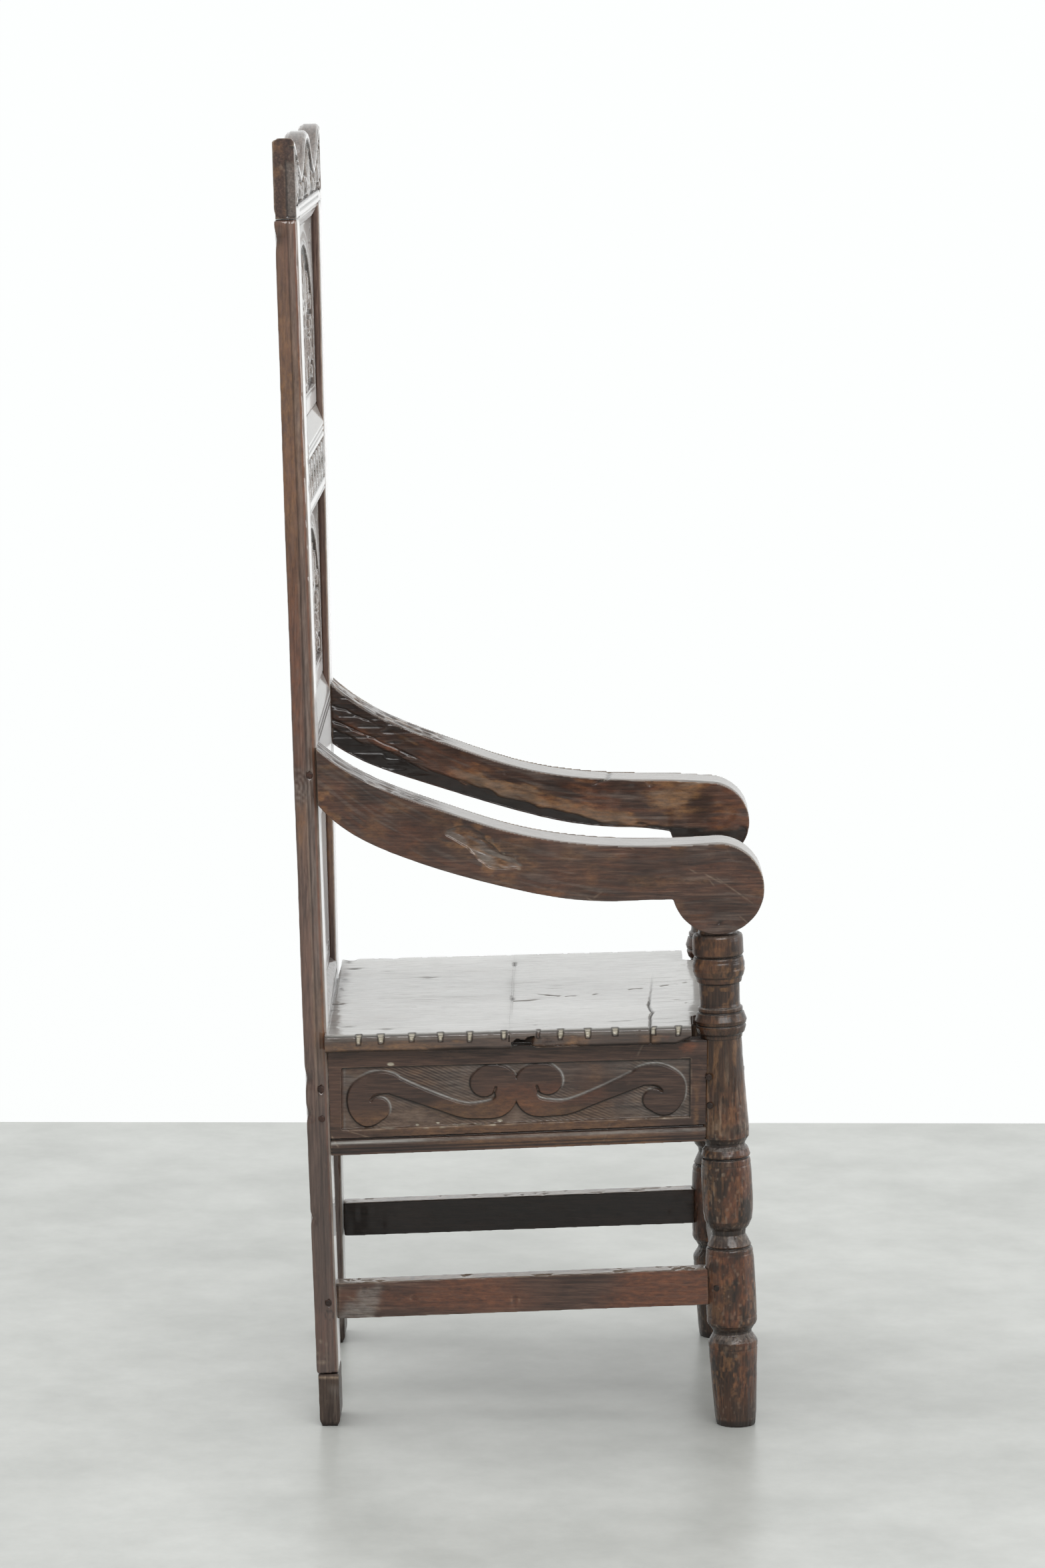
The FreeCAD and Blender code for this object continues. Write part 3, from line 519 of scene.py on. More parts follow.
def scratch(wood, u, v, start, end, where, depth=0.5, pale=0.8, width=0.8):
    """One thin straight scratch between two spots on a flat side."""
    length = math.hypot(end[0] - start[0], end[1] - start[1])
    du, dv = (end[0] - start[0]) / length, (end[1] - start[1]) / length
    along = (u - start[0]) * du + (v - start[1]) * dv
    across = (u - start[0]) * dv - (v - start[1]) * du
    mark = where * bell(across, 0, width) * smooth(-2, 4, along) * smooth(length + 2, length - 4, along)
    wood.push(-depth * mark)
    wood.daub(PALE, pale * mark)


def scratches(wood, seed, count, u, v, where, length=(8, 30), pale=0.4):
    """Short faint scratches scattered over a flat side."""
    draw = np.random.default_rng(seed)
    low_u, high_u, low_v, high_v = np.min(u), np.max(u), np.min(v), np.max(v)
    for _ in range(count):
        start = draw.uniform(low_u, high_u), draw.uniform(low_v, high_v)
        reach, turn = draw.uniform(*length), draw.normal(0, 0.5)
        end = start[0] + reach * math.cos(turn), start[1] + reach * math.sin(turn)
        scratch(wood, u, v, start, end, where, 0.3, pale, 0.7)


# ---- stiles and feet
def stile(side, name):
    wood = Wood(name, 1.0, squeeze=(0.6, 1, 0.3))
    p, n = wood.first, wood.n
    z = p[:, 2]
    across = (p[:, 1] - stile_front(side, z)) / STILE_THICK
    outer = facing(wood, 0, side.sign)
    inner = facing(wood, 0, -side.sign)
    front = facing(wood, 1, -1)
    rear = facing(wood, 1, 1)
    worn_all_over(wood, 0.35, 11 + side.sign, (1, 1, 3), front)
    wood.p[:, 1] += rear * 1.6 * np.sin(np.pi * np.clip(z / STILE_TOP, 0, 1))
    slow = noise(p, 70, 3, (1, 1, 4))
    quirk = bell(across, 0.45, 0.035) * outer
    wood.push(-quirk)
    wood.daub(DARK, 0.6 * smooth(0.15, 0.8, quirk))
    flat = smooth(0.16, 0.22, across) * smooth(0.44, 0.40, across) * outer
    wood.daub(GREY, 0.42 * flat * smooth(-0.9, 0.4, slow) * (1 - 0.5 * smooth(620, 200, z)))
    wood.daub(RUST, 0.5 * bell(across, 0.13, 0.05) * outer)
    wood.daub(PALE, 0.35 * bell(across, 0.52, 0.04) * outer * cloudy(-0.1, 0.6, p, 30, 5, (1, 1, 4)))
    wood.daub(PALE, 0.8 * smooth(0.09, 0.02, across) * smooth(0.2, 0.6, np.abs(n[:, 0])))
    wood.daub(RUST, 0.55 * outer * smooth(0.5, 0.6, across) * cloudy(-0.1, 0.6, p, 60, 4, (1, 1, 5)))
    wood.daub(DARK, 0.35 * smooth(0.94, 0.99, across) * outer * cloudy(-0.3, 0.5, p, 20, 6, (1, 1, 3)))
    groove_in = bell(across, 0.35, 0.05) * inner
    wood.push(-0.9 * groove_in)
    wood.daub(DARK, 0.7 * groove_in + 0.45 * inner * smooth(0.5, 0.9, across))
    inset = np.abs(np.abs(p[:, 0]) - STILE_IN)
    moulded = bell(inset, 9, 1.3) * front
    wood.push(-1.1 * moulded - 0.9 * bell(inset, 5, 1.1) * front)
    wood.daub(DARK, 0.5 * moulded)
    edge = np.abs(np.abs(p[:, 0]) - STILE_OUT)
    teeth = np.zeros(len(p))
    draw = np.random.default_rng(5)
    for height in np.arange(150, 1290, 37):
        tooth = bell(z, height + draw.uniform(-14, 14), draw.uniform(3, 10)) * draw.uniform(0.2, 1)
        teeth = np.maximum(teeth, tooth)
    wood.push(-1.8 * teeth * smooth(6, 0, edge) * front)
    wood.daub(DARK, 0.85 * teeth * smooth(7, 1, edge) * front)
    for height, reach in ((386, 5), (347, 4), (1290, 6), (232, 3)):
        nick = np.hypot(np.hypot((across - 1) * 12, np.maximum(edge - 1, 0) * 0.8), (z - height) / 1.6)
        wood.cut(bell(nick, 0, reach) * (outer + rear), 2.2, 0.7)
    bump = np.hypot((across - 0.95) * 20, (z - 704) / 1.5)
    if side.sign < 0:
        wood.push(0.9 * bell(bump, 0, 6) * outer)
        rings = 0.5 + 0.5 * np.sin(bump * 1.7)
        wood.daub(GREY, 0.65 * smooth(17, 9, bump) * outer * rings)
        wood.daub(DARK, 0.6 * smooth(17, 9, bump) * outer * (1 - rings))
        wood.daub(OCHRE, 0.6 * outer * smooth(0.5, 0.6, across) * bell(z, 660, 26))
        peg = np.hypot(p[:, 1] + 9.5, z - 124)
        wood.push(-0.9 * bell(peg, 5.2, 1.2) * outer)
        wood.daub(DARK, 0.9 * bell(peg, 4.8, 1.4) * outer)
    wood.daub(DARK, 0.46 * smooth(620, 200, z) * (1 - front))
    # painted glare, grey and pale, on the front faces
    wood.daub(GREY, 0.22 * front)
    wood.daub(GLARE, 0.18 * front)
    wood.daub(DARK, 0.85 * smooth(1304, 1309, z) * smooth(0.3, 0.8, n[:, 2]))
    low = smooth(120, 66, z)
    wood.daub(DARK, 0.45 * low * cloudy(-0.4, 0.5, p, 22, 2, (1, 1, 2)))
    for height, tilt in ((78, 0.25), (71, 0.1), (90, 0.5)):
        mark = bell(z - height - tilt * (p[:, 1] + 10), 0, 0.9) * smooth(0.35, 0.6, across) * outer
        wood.push(-0.5 * mark)
        wood.daub(PALE, 0.8 * mark)
    wood.push(-1.1 * smooth(60.5, 58.5, z + 0.8 * noise(p, 8, 4)))
    wood.p[:, 1] += 1.1 * rear * smooth(1270, 1300, z)
    wood.done(upright_oak)


def foot(side, name):
    wood = Wood(name, 0.9, squeeze=(0.7, 1, 0.8))
    p = wood.first
    worn_all_over(wood, 0.5, 21 + side.sign, (1, 1, 2))
    z = p[:, 2]
    outer = facing(wood, 0, side.sign)
    wood.daub(GREY, 0.75 * cloudy(0.05, 0.5, p, 16, 6, (1, 1, 1.6)) * smooth(50, 36, z))
    wood.daub(PALE, 0.7 * bell(z, 54.5, 1.3) * outer)
    wood.daub(DARK, 0.75 * smooth(7, 1, z))
    hollow = smooth(9, 0, z)
    middle_x = side.sign * (STILE_IN + STILE_OUT) / 2
    middle_y = side.heel - STILE_THICK / 2
    wood.p[:, 0] += (middle_x - p[:, 0]) * 0.05 * hollow
    wood.p[:, 1] += (middle_y - p[:, 1]) * 0.22 * hollow ** 1.5
    wood.done(foot_oak, "oak_feet")


for side, name in SIDES:
    stile(side, "stile_" + name)
    foot(side, "foot_" + name)


# ---- side seat rails with paired scrolls
# the S-scroll's middle line, as (distance from the rail's middle, share of the field's height, half width)
SCROLL = [(149.0, .314, 12.1), (161.0, .235, 12.8), (169.6, .382, 12.4), (167.9, .591, 12.8),
          (153.3, .727, 12.4), (138.1, .730, 10.7), (129.3, .668, 9.4), (109.1, .538, 8.2),
          (83.8, .385, 7.4), (58.5, .246, 7.7), (39.6, .226, 8.4), (19.3, .273, 10.4), (10.5, .455, 11.8),
          (14.3, .720, 13.9), (28.2, .776, 14.4), (34.5, .697, 15.4)]
SCROLL_CUTS = [[(140.7, .501), (147.0, .551), (153.3, .527), (157.2, .463)],
               [(40.8, .373), (29.4, .435), (25.0, .492), (22.1, .607)]]
FIELD = 65.0  # height of the rail's sunk field


def seat_rail(side, name):
    wood = Wood(name, 0.8, 1, squeeze=(1, 0.9, 1))
    p, n = wood.first, wood.n
    y, z = p[:, 1], p[:, 2]
    rear, front = stile_front(side, RAIL_BOTTOM), post_axis(side, RAIL_TOP + TOP_RISE)
    t = (y - rear) / (front - rear)
    bottom = RAIL_BOTTOM + BOTTOM_RISE * t
    top = RAIL_TOP + TOP_RISE * t
    low, high = bottom + 28, top - 20
    v = (z - low) / (high - low)
    centre = (rear + front) / 2 + 10.5
    u = np.abs(y - centre)
    face = np.max(np.abs(p[:, 0]))
    layer = np.abs(p[:, 0]) > face - 7
    outer = facing(wood, 0, side.sign, 0.3, 0.8) * layer
    rear_side, front_side = y - (centre - 188), centre + 187 - y
    ends = np.minimum(rear_side, front_side)
    border = np.minimum(np.minimum(z - low, high - z), ends)
    field = smooth(-0.5, 0.5, border) * layer * (n[:, 0] * side.sign > -0.2)

    scroll = [(a, b * FIELD, r) for a, b, r in SCROLL]
    band = ribbon(u, v * FIELD, scroll)
    raised = smooth(0.6, -0.6, band)
    cuts = np.full(len(p), 1e9)
    for cut in SCROLL_CUTS:
        cuts = np.minimum(cuts, groove(u, v * FIELD, [(a, b * FIELD) for a, b in cut]))
    raised = raised * (1 - 0.8 * smooth(2.0, 0.4, cuts))
    tools = (y * 0.42 - z) / 1.05 + 0.8 * noise(p, 16, 3)
    hatch = np.sin(tools * 2.0) * cloudy(-0.6, 0.5, p, 30, 6)
    ground = -3.9 - 0.5 * smooth(14, 0, band) + 0.16 * hatch + 0.30 * noise(p, 10, 2)
    carved = (1 - raised) * ground - raised * (0.1 + 0.12 * noise(p, 22, 5, (1, 3, 1)))
    wood.p[:, 0] = np.where(field > 0.01, side.sign * (face + field * carved), wood.p[:, 0])
    plain = (1 - field)

    sunk = field * (1 - raised)
    wood.daub(GREY, 0.55 * sunk * cloudy(-1.2, 0.6, p, 26, 5, (1, 2.5, 1)))
    wood.daub(OCHRE, 0.40 * sunk * cloudy(-0.1, 0.6, p, 6, 6, (1, 2.5, 1)))
    wood.daub(PALE, 0.42 * sunk * smooth(0.1, 0.9, hatch))
    wood.daub(DARK, sunk * (0.20 + 0.30 * smooth(-0.2, -0.9, hatch)))
    # along the raised scroll's edge: painted shade on one side and a painted highlight, grey and pale, on the
    # other, as if lit from one direction
    step = 1.5
    shifted = ribbon(np.abs(y - step * 0.8 - centre), (v + step / 70) * FIELD, scroll)
    up = np.clip((shifted - band) / step, -1, 1)
    line = bell(band, 0.6, 1.1) * field
    wood.daub(DARK, line * (0.25 + 0.85 * smooth(0.2, -0.6, up)))
    lit = bell(band, 1.0, 1.0) * field * smooth(0.1, 0.8, up) * cloudy(-0.9, 0.0, p, 18, 9)
    wood.daub(GREY, lit)
    wood.daub(GLARE, 0.75 * lit)
    wood.daub(DARK, 0.30 * field * raised)
    wood.daub(DARK, 0.5 * smooth(1.8, 0.6, cuts) * field * smooth(0, -3, band))
    wood.daub(RUST, 0.45 * field * raised * cloudy(0.0, 0.6, p, 34, 7, (1, 2, 1)))

    wood.daub(DARK, 0.9 * smooth(3.0, 0.5, top - z + 0.8 * noise(p, 18, 4, (1, 2, 1))) * outer)
    rim = layer * (n[:, 0] * side.sign > 0)
    inner_span = (ends > -1)
    wood.daub(DARK, 0.95 * bell(high - z, 0.6, 1.0) * inner_span * rim)
    wood.daub(DARK, 0.9 * bell(rear_side, 0.6, 1.0) * (border > -1.2) * rim)
    chipped = bell(z - low, -0.6, 1.2) * inner_span * rim
    wood.daub(PALE, 0.85 * chipped * cloudy(-0.5, 0.4, p, 12, 4))
    wood.daub(CHIP, 0.6 * chipped * cloudy(0.3, 0.7, p, 4, 8, (1, 2, 1)))
    wood.push(-0.5 * chipped * cloudy(0.2, 0.6, p, 7, 8))
    if side.sign < 0:
        wood.daub(GREY, 0.85 * field * smooth(5, 1, front_side) * smooth(4, 8, np.minimum(band, 40)))

    # the bead along the rail's foot: dark lines at its quirks and a painted highlight along it
    wood.daub(DARK, bell(z - bottom, 17.4, 1.6) * rim)
    wood.daub(DARK, 0.95 * (bell(z - bottom, 3.4, 1.2) + bell(z - bottom, 6.8, 0.8)) * rim)
    wood.daub(GREY, bell(z - bottom, 13.4, 1.8) * rim)
    wood.daub(GLARE, 0.6 * bell(z - bottom, 13.9, 1.5) * rim * cloudy(-0.7, 0.3, p, 20, 3, (1, 4, 1)))
    wood.push(plain * outer * (0.7 * bell(z - bottom, 10, 4.5) - 0.6 * bell(z - bottom, 7.2, 0.8)))
    wood.push(plain * 0.22 * noise(p, 42, 31 + side.sign, (1, 4, 1)))
    wood.daub(OCHRE, 0.5 * outer * cloudy(0.35, 0.65, p, 50, 33, (1, 3, 1)))
    if side.sign < 0:
        for py, pz, reach in ((-76.7, 400.4, 1.9), (-194.7, 337.8, 1.5), (-105.3, 333.2, 1.0),
                              (-127.7, 335.4, 1.0)):
            chip = bell(np.hypot((y - py) / 2.2, z - pz), 0, reach)
            wood.push(-0.8 * chip * outer)
            wood.daub(CHIP, 0.95 * smooth(0.3, 0.7, chip) * outer)
        scratch(wood, y, z, (-30, 327), (-66, 316), outer, 0.2, 0.5, 0.6)
        scratch(wood, y, z, (-12, 322), (-20, 309), outer, 0.3, 0.7, 0.9)
        scratch(wood, y, z, (-350, 424), (-343, 410), outer, 0.2, 0.4, 0.8)
        spot = np.hypot((y + 398) / 1.4, z - 421)
        wood.daub(RUST, 0.9 * smooth(9, 3, spot + 2 * noise(p, 4, 4)) * outer)
        worn = smooth(12, 0, np.hypot(y + 428, z - 436))
        wood.p[:, 2] -= 2.2 * worn
        wood.daub(PALE, 0.6 * worn)
    beside_post = bell(y, front + 27, 3.5) * cloudy(-0.2, 0.5, p, 6, 3, (1, 1, 3)) * bell(z, 360, 32)
    wood.daub(OCHRE, 0.9 * outer * beside_post)
    wood.daub(DARK, 0.30 * outer * plain * smooth(60, 0, z - bottom) * smooth(0, 4, z - bottom - 18))
    scratches(wood, 3 + side.sign, 6, y, z, outer * plain, pale=0.35)
    wood.age_edges(6, 0.35, 0.3, 0.2, where=plain)
    wood.done(forward_oak)


for side, name in SIDES:
    seat_rail(side, "seat_rail_" + name)


# ---- posts
# the post's outline, as (height, radius)
TURNING = [(0, 20.6), (2, 21.6), (8, 22.3), (14.6, 22.8), (63, 25.4), (91.3, 26.9), (93.5, 26.6),
           (98, 23.9), (102.4, 20.9), (104.7, 20.9), (109.1, 23.7), (112.1, 26.2), (115.1, 27.3),
           (129.9, 27.3), (159.6, 27.0), (181.8, 26.4), (194.4, 25.4), (196.4, 24.6), (197.3, 22.7),
           (199.5, 23.9), (206.2, 20.9), (211.4, 18.2), (216.5, 18.8), (220.2, 22.1), (227.6, 25.7),
           (237.2, 27.1), (248.3, 27.6), (277.8, 27.5), (293.3, 26.5), (295.3, 26.1), (296.3, 24.3),
           (297.8, 26.2), (299.9, 26.6), (305.8, 24.7), (309.5, 21.6), (311.7, 21.3), (316.1, 23.7),
           (319.1, 25.9), (329.4, 26.3), (351.4, 25.0), (366.1, 24.1), (395.5, 22.9), (410.2, 22.2),
           (427.0, 21.8), (428.5, 22.6), (431.4, 23.0), (433.6, 25.3), (439.5, 27.2), (441.6, 27.0),
           (442.4, 26.2), (443.4, 27.4), (446.8, 28.3), (453.4, 26.0), (455.4, 25.6), (456.3, 23.7),
           (457.8, 24.4), (460.7, 24.2), (462.1, 22.1), (465.1, 21.5), (487.0, 21.9), (488.5, 24.2),
           (493.6, 25.1), (495.8, 26.6), (501.6, 28.3), (508.9, 28.2), (514.8, 27.0), (516.0, 26.6),
           (516.9, 24.9), (518.2, 26.6), (519.9, 27.6), (534.5, 27.4), (538.2, 27.0), (540.3, 26.0),
           (541.4, 24.2), (541.9, 21.0), (545.5, 20.5)]


# height of each dark line cut round a post, and how dark it is
POST_LINES = ((445.2, 0.5), (504.0, 0.3), (512.0, 0.4), (288.5, 0.4), (191.0, 0.5), (121.0, 0.4), (86.0, 0.5),
              (442.4, 0.8), (456.2, 0.95), (516.9, 1.0), (296.3, 1.0), (197.3, 0.95), (488.0, 0.9))


def front_post(side, name):
    lift = side.post_top / TURNING[-1][0] / math.cos(math.radians(side.post_lean))
    outline = [(height * lift, radius) for height, radius in TURNING]
    foot_spot = (side.sign * POST_X, -side.foot, 0)
    wood = Turned(name, foot_spot, side.post_lean, outline)
    p, n = wood.first, wood.n
    share = wood.along / lift
    shell = smooth(14, 17, wood.radius)
    fibres = noise(p, 2.4, 3, (1, 1, 7))
    wood.push(0.16 * fibres * shell)
    cracks = smooth(0.46, 0.70, noise(p, 2.0, 6, (1, 1, 9)) + 0.25 * noise(p, 12, 3, (1, 1, 3)))
    cracks = cracks * (1 - 0.85 * smooth(430, 445, share))
    wood.push(-0.4 * cracks * shell)
    worn_all_over(wood, 0.3, 41 + side.sign, (1, 1, 2))
    full = smooth(22.6, 25.0, wood.radius)
    fine = noise(p, 2.6, 5, (1, 1, 2.2))
    rub = smooth(-0.25, 0.45, noise(p, 17, 7, (1, 1, 1.8)) + 0.5 * fine)
    lower = smooth(345, 290, share)
    wood.daub(RUST, (0.30 + 0.3 * lower) * full * rub)
    tan = smooth(0.0, 0.55, 0.7 * noise(p, 12, 9, (1, 1, 1.5)) + 0.8 * fine + 0.3 * noise(p, 1.7, 2))
    wood.daub(OCHRE, (0.35 + 0.4 * lower + 0.4 * smooth(95, 20, share)) * full * tan)
    upper = smooth(455, 470, share)
    wood.daub(OCHRE, 0.75 * upper * smooth(0.0, 0.5, noise(p, 8, 2, (1, 1, 0.7)) + 0.4 * fine))
    specks = smooth(0.35, 0.7, noise(p, 2.4, 1, (1, 1, 2.0)) + 0.3 * noise(p, 20, 6))
    wood.daub(PALE, 0.6 * specks * smooth(380, 300, share) * (0.4 + 0.6 * smooth(60, 140, share)))
    shaft = smooth(320, 330, share) * smooth(435, 420, share)
    streaks = noise(p, 2.6, 8, (1, 1, 13))
    wood.daub(PALE, 0.6 * shaft * smooth(0.15, 0.6, streaks) * smooth(440, 330, share))
    wood.daub(OCHRE, 0.6 * shaft * cloudy(-0.2, 0.5, p, 5, 2, (1, 1, 4)))
    wood.daub(PALE, 0.7 * bell(share, 325, 8) * cloudy(-0.1, 0.5, p, 4, 4, (1, 1, 2)))
    wood.daub(DARK, 0.6 * cracks * shell)
    wood.daub(DARK, 0.75 * smooth(0.0, 0.7, noise(p, 13, 8, (1, 1, 1.3)) - 0.45 * fine) * full)
    wood.daub(DARK, 0.28 * shell * (1 - 0.7 * shaft))
    # painted sheen on the faces that look up, painted shade on those that look down and under the necks
    above = smooth(0.25, 0.6, n[:, 2]) * shell
    wood.daub(GREY, 0.7 * above * (1 - 0.5 * cracks))
    wood.daub(DARK, 0.75 * smooth(-0.2, -0.55, n[:, 2]) * shell)
    neck = smooth(24.2, 21.5, wood.radius) * (bell(share, 104, 9) + bell(share, 212, 12) + bell(share, 311, 8)
                                              + bell(share, 463, 4) + bell(share, 457, 3))
    wood.daub(DARK, 0.85 * neck * smooth(0.35, 0.0, n[:, 2]))
    wood.daub(DARK, 0.92 * smooth(11, 4, share))
    for height, dark in POST_LINES:
        line = bell(share, height, 1.1)
        wood.push(-0.3 * line)
        wood.daub(DARK, dark * line)
    wood.age_edges(5, 0.85, 0.95, 0.16, OCHRE, shell)
    wood.done(post_oak)


for side, name in SIDES:
    front_post(side, "front_post_" + name)


# ---- arms
def arm(side, name):
    wood = Wood(name, 1.0, squeeze=(0.85, 0.9, 1))
    p, n = wood.first, wood.n
    y, z = p[:, 1], p[:, 2]
    x = np.abs(p[:, 0])
    upper = facing(wood, 2, 1, 0.35, 0.8)
    outer = facing(wood, 0, side.sign)
    inner = facing(wood, 0, -side.sign)
    calm = upper * smooth(-120, -150, y)
    worn_all_over(wood, 0.45, 51 + side.sign, (1, 3, 1), calm)
    low_x, high_x = np.min(x), np.max(x)
    beside = np.minimum(x - low_x, high_x - x)
    wood.p[:, 2] -= 3.4 * upper * smooth(9, 0, beside) ** 1.6
    hollow = bell(y, -260, 120) * upper
    wood.push(-hollow)
    # painted reflection on the arm's top
    wood.daub(GREY, 0.30 * upper)
    flow = np.stack([p[:, 0], y, z - arm_top(y)], 1)
    rear_end = smooth(-150, -110, y)
    weathered = smooth(-0.2, 0.5, noise(flow, 5, 2, (1, 5, 1)) + 0.4 * noise(p, 16, 9))
    wood.daub(DARK, 0.6 * upper * rear_end * weathered)
    seams = cloudy(0.25, 0.6, flow, 2.6, 4, (1, 14, 1)) * rear_end
    wood.cut(upper * seams, 0.6, 0.7)
    # painted glare on the arm's top, in front of its rear end
    wood.daub(GLARE, 0.35 * upper * (1 - rear_end))
    streak = noise(flow, 3.0, 4, (1, 11, 1)) + 0.5 * noise(flow, 9, 1, (1, 5, 1))
    wood.daub(GREY, (0.22 * outer + 0.35 * inner * (1 - 0.7 * rear_end)) * smooth(0.15, 0.7, streak))
    wood.daub(RUST, (0.20 * outer + 0.40 * inner) * smooth(0.1, 0.7, -streak))
    fibres = noise(p, 3.0, 5, (1, 9, 1))
    if side.sign < 0:
        ridge = smooth(238, 232, x) * smooth(205, 214, x) * smooth(-135, -95, y)
        nibble = 0.6 + 0.7 * noise(p, 7, 3) + 0.5 * noise(p, 16, 2)
        wood.push(upper * ridge * -1.6 * np.clip(nibble, 0, 2))
        wood.daub(PALE, 0.5 * upper * ridge * smooth(0.8, 1.2, nibble))
        wood.daub(DARK, 0.6 * upper * ridge * smooth(0.35, 0.75, fibres))
        torn = outer * smooth(-150, -120, y) * smooth(11, 0, arm_top(y) - z + 3 * noise(p, 9, 4))
        wood.push(-1.2 * torn * cloudy(-0.3, 0.5, p, 6, 8, (1, 2, 1)))
        wood.daub(PALE, 0.55 * torn)
        wood.daub(OCHRE, 0.5 * outer * cloudy(0.2, 0.6, p, 9, 1, (1, 1.6, 1)) * smooth(-60, -20, y))
        # the torn scar: s runs along it from 0 to 1, c across it in millimetres
        start_y, start_z, run_y, run_z, length = -139.4, 662.7, -0.928, -0.372, 91
        s = ((y - start_y) * run_y + (z - start_z) * run_z) / length
        c = (y - start_y) * run_z - (z - start_z) * run_y
        spine = -7 + 5 * np.sin(s * 6.5) - 4 * s
        half = 12.5 * np.sin(np.pi * np.clip(s * 0.96 + 0.03, 0, 1)) ** 0.6 * (1.1 - 0.35 * s)
        ragged = 3.2 * noise(p, 7, 8, (1, 1.6, 1))
        off = c - spine
        scar = smooth(0.5, -1.2, np.abs(off) - half - ragged) * smooth(-0.02, 0.03, s) * smooth(1.02, 0.97, s)
        lie = np.stack([s * length + 0.4 * c, c, s * 0], 1)
        rough = 0.6 * noise(lie, 3.2, 3, (4, 1, 1)) + 0.7 * noise(lie, 11, 2, (1.6, 1, 1))
        sunken = smooth(0, 1.8, half + ragged - np.abs(off))
        wood.push(outer * scar * sunken * (-1.7 + 0.9 * rough))
        for tone, amount in ((OCHRE, 0.95 * smooth(0.35, -0.2, rough + 0.05 * off)),
                             (GREY, 0.75 * sunken * smooth(-0.45, 0.2, rough - 0.03 * off)),
                             (PALE, 0.30 * smooth(0.15, 0.5, rough)),
                             (DARK, 0.6 * smooth(-0.25, -0.6, rough))):
            wood.daub(tone, outer * scar * amount)
        rind = bell(off - half - ragged, 0, 1.0) * smooth(0.02, 0.1, s) * smooth(0.9, 0.8, s)
        wood.daub(DARK, 0.7 * outer * rind)
        halo = smooth(14, 0, np.abs(off) - half) * smooth(-0.3, 0.0, s) * smooth(1.25, 1.0, s) * (1 - scar)
        wood.daub(OCHRE, outer * halo * cloudy(-0.15, 0.35, p, 7, 4, (1, 1.5, 1)))
        wood.daub(CHIP, 0.25 * outer * halo * cloudy(0.4, 0.7, p, 4, 6) * bell(s, 0.85, 0.25))
        by_stile = bell(np.hypot(y + 7, (z - 690) / 1.6), 0, 12)
        wood.daub(OCHRE, 0.8 * outer * cloudy(0.0, 0.5, p, 6, 2) * by_stile)
        for start, end, pale in (((-427, 607.5), (-467, 579), 0.34), ((-398, 616.5), (-406, 612.5), 0.5),
                                 ((-415, 611), (-434, 601), 0.4), ((-452, 566), (-461, 558), 0.4),
                                 ((-288, 585), (-296, 581), 0.5), ((-335, 640), (-339, 638), 0.7)):
            scratch(wood, y, z, start, end, outer, 0.4, pale, 0.75)
        dent = np.hypot((y + 431) / 1.6, z - 558.5 + 0.4 * (y + 431))
        wood.push(-1.2 * bell(dent, 0, 2) * outer)
        wood.daub(DARK, 0.8 * bell(dent, 0, 2.2) * outer)
    else:
        along = np.interp(y, [-400, -300, -200, -100, 0], [598, 606, 633, 668, 712])
        drop = z - along
        patch = noise(flow, 15, 2, (1, 2.2, 1)) + 0.35 * noise(flow, 5, 7, (1, 3, 1))
        torn = noise(flow, 3.6, 1, (1, 4, 1))
        tan = bell(drop, 7, 8) * smooth(-110, -150, y) * smooth(-375, -330, y)
        wood.daub(PALE, 0.6 * inner * smooth(0.55, 0.8, tan + 0.55 * patch + 0.25 * torn))
        wood.daub(OCHRE, 0.8 * inner * smooth(0.15, 0.6, tan + 0.4 * patch + 0.3 * torn))
        front_tan = bell(np.hypot((y + 385) / 1.8, z - 640), 0, 24)
        wood.daub(PALE, 0.5 * inner * smooth(0.55, 0.95, front_tan + 0.5 * patch + 0.3 * torn))
        wood.daub(OCHRE, 0.8 * inner * smooth(0.2, 0.7, front_tan + 0.4 * patch + 0.3 * torn))
        # painted shade: the lower band of the inner face is darkened and sunk
        shaded_underside = inner * smooth(3.0, -1.0, drop + 3.0 * torn)
        wood.daub(DARK, shaded_underside)
        wood.push(-1.5 * shaded_underside)
        wood.daub(DARK, 0.6 * inner * smooth(-110, -30, y + 30 * patch))
        reddened = smooth(0.0, 0.55, noise(p, 26, 9, (1, 2, 1)) + 0.3 * torn) * smooth(-60, -120, y)
        wood.daub(RUST, 0.45 * inner * reddened)
        wood.daub(DARK, 0.5 * inner * cloudy(0.1, 0.6, p, 18, 3, (1, 1.8, 1)) * smooth(-100, -150, y))
        rust_run = (z - (727 + 0.58 * y)) / 4.5
        wood.daub(RUST, inner * bell(rust_run, 0, 1) * smooth(-85, -70, y) * smooth(-8, -18, y))
        wood.daub(OCHRE, 0.7 * inner * bell(rust_run, 0.2, 0.7) * smooth(-80, -70, y) * smooth(-8, -18, y))
        grey_run = bell(z - (712 + 0.42 * y), 0, 2.2) * smooth(-95, -70, y) * smooth(0.0, 0.6, fibres + 0.4)
        wood.daub(GREY, 0.4 * inner * grey_run)
        splinters = inner * smooth(-120, -60, y) * smooth(0.18, 0.5, fibres)
        wood.cut(splinters, 0.7, 0.85)
        for start, slope, reach in ((741, 0.50, 55), (724, 0.52, 40), (722, 0.45, 110)):
            split = z - (start + slope * y) - 2.5 * noise(p, 14, 7, (1, 1, 1))
            mark = bell(split, 0, 1.0) * smooth(-reach, -reach + 25, y) * inner
            wood.cut(mark, 1.2, 0.95)
        crack = bell(z - (652 - 0.36 * (y + 303)) - 0.6 * noise(p, 8, 3), 0, 0.9)
        crack = crack * smooth(-352, -340, y) * smooth(-292, -302, y)
        wood.cut(crack * (inner + upper), 1.2, 0.9)
        end = upper * smooth(-128, -116, y)
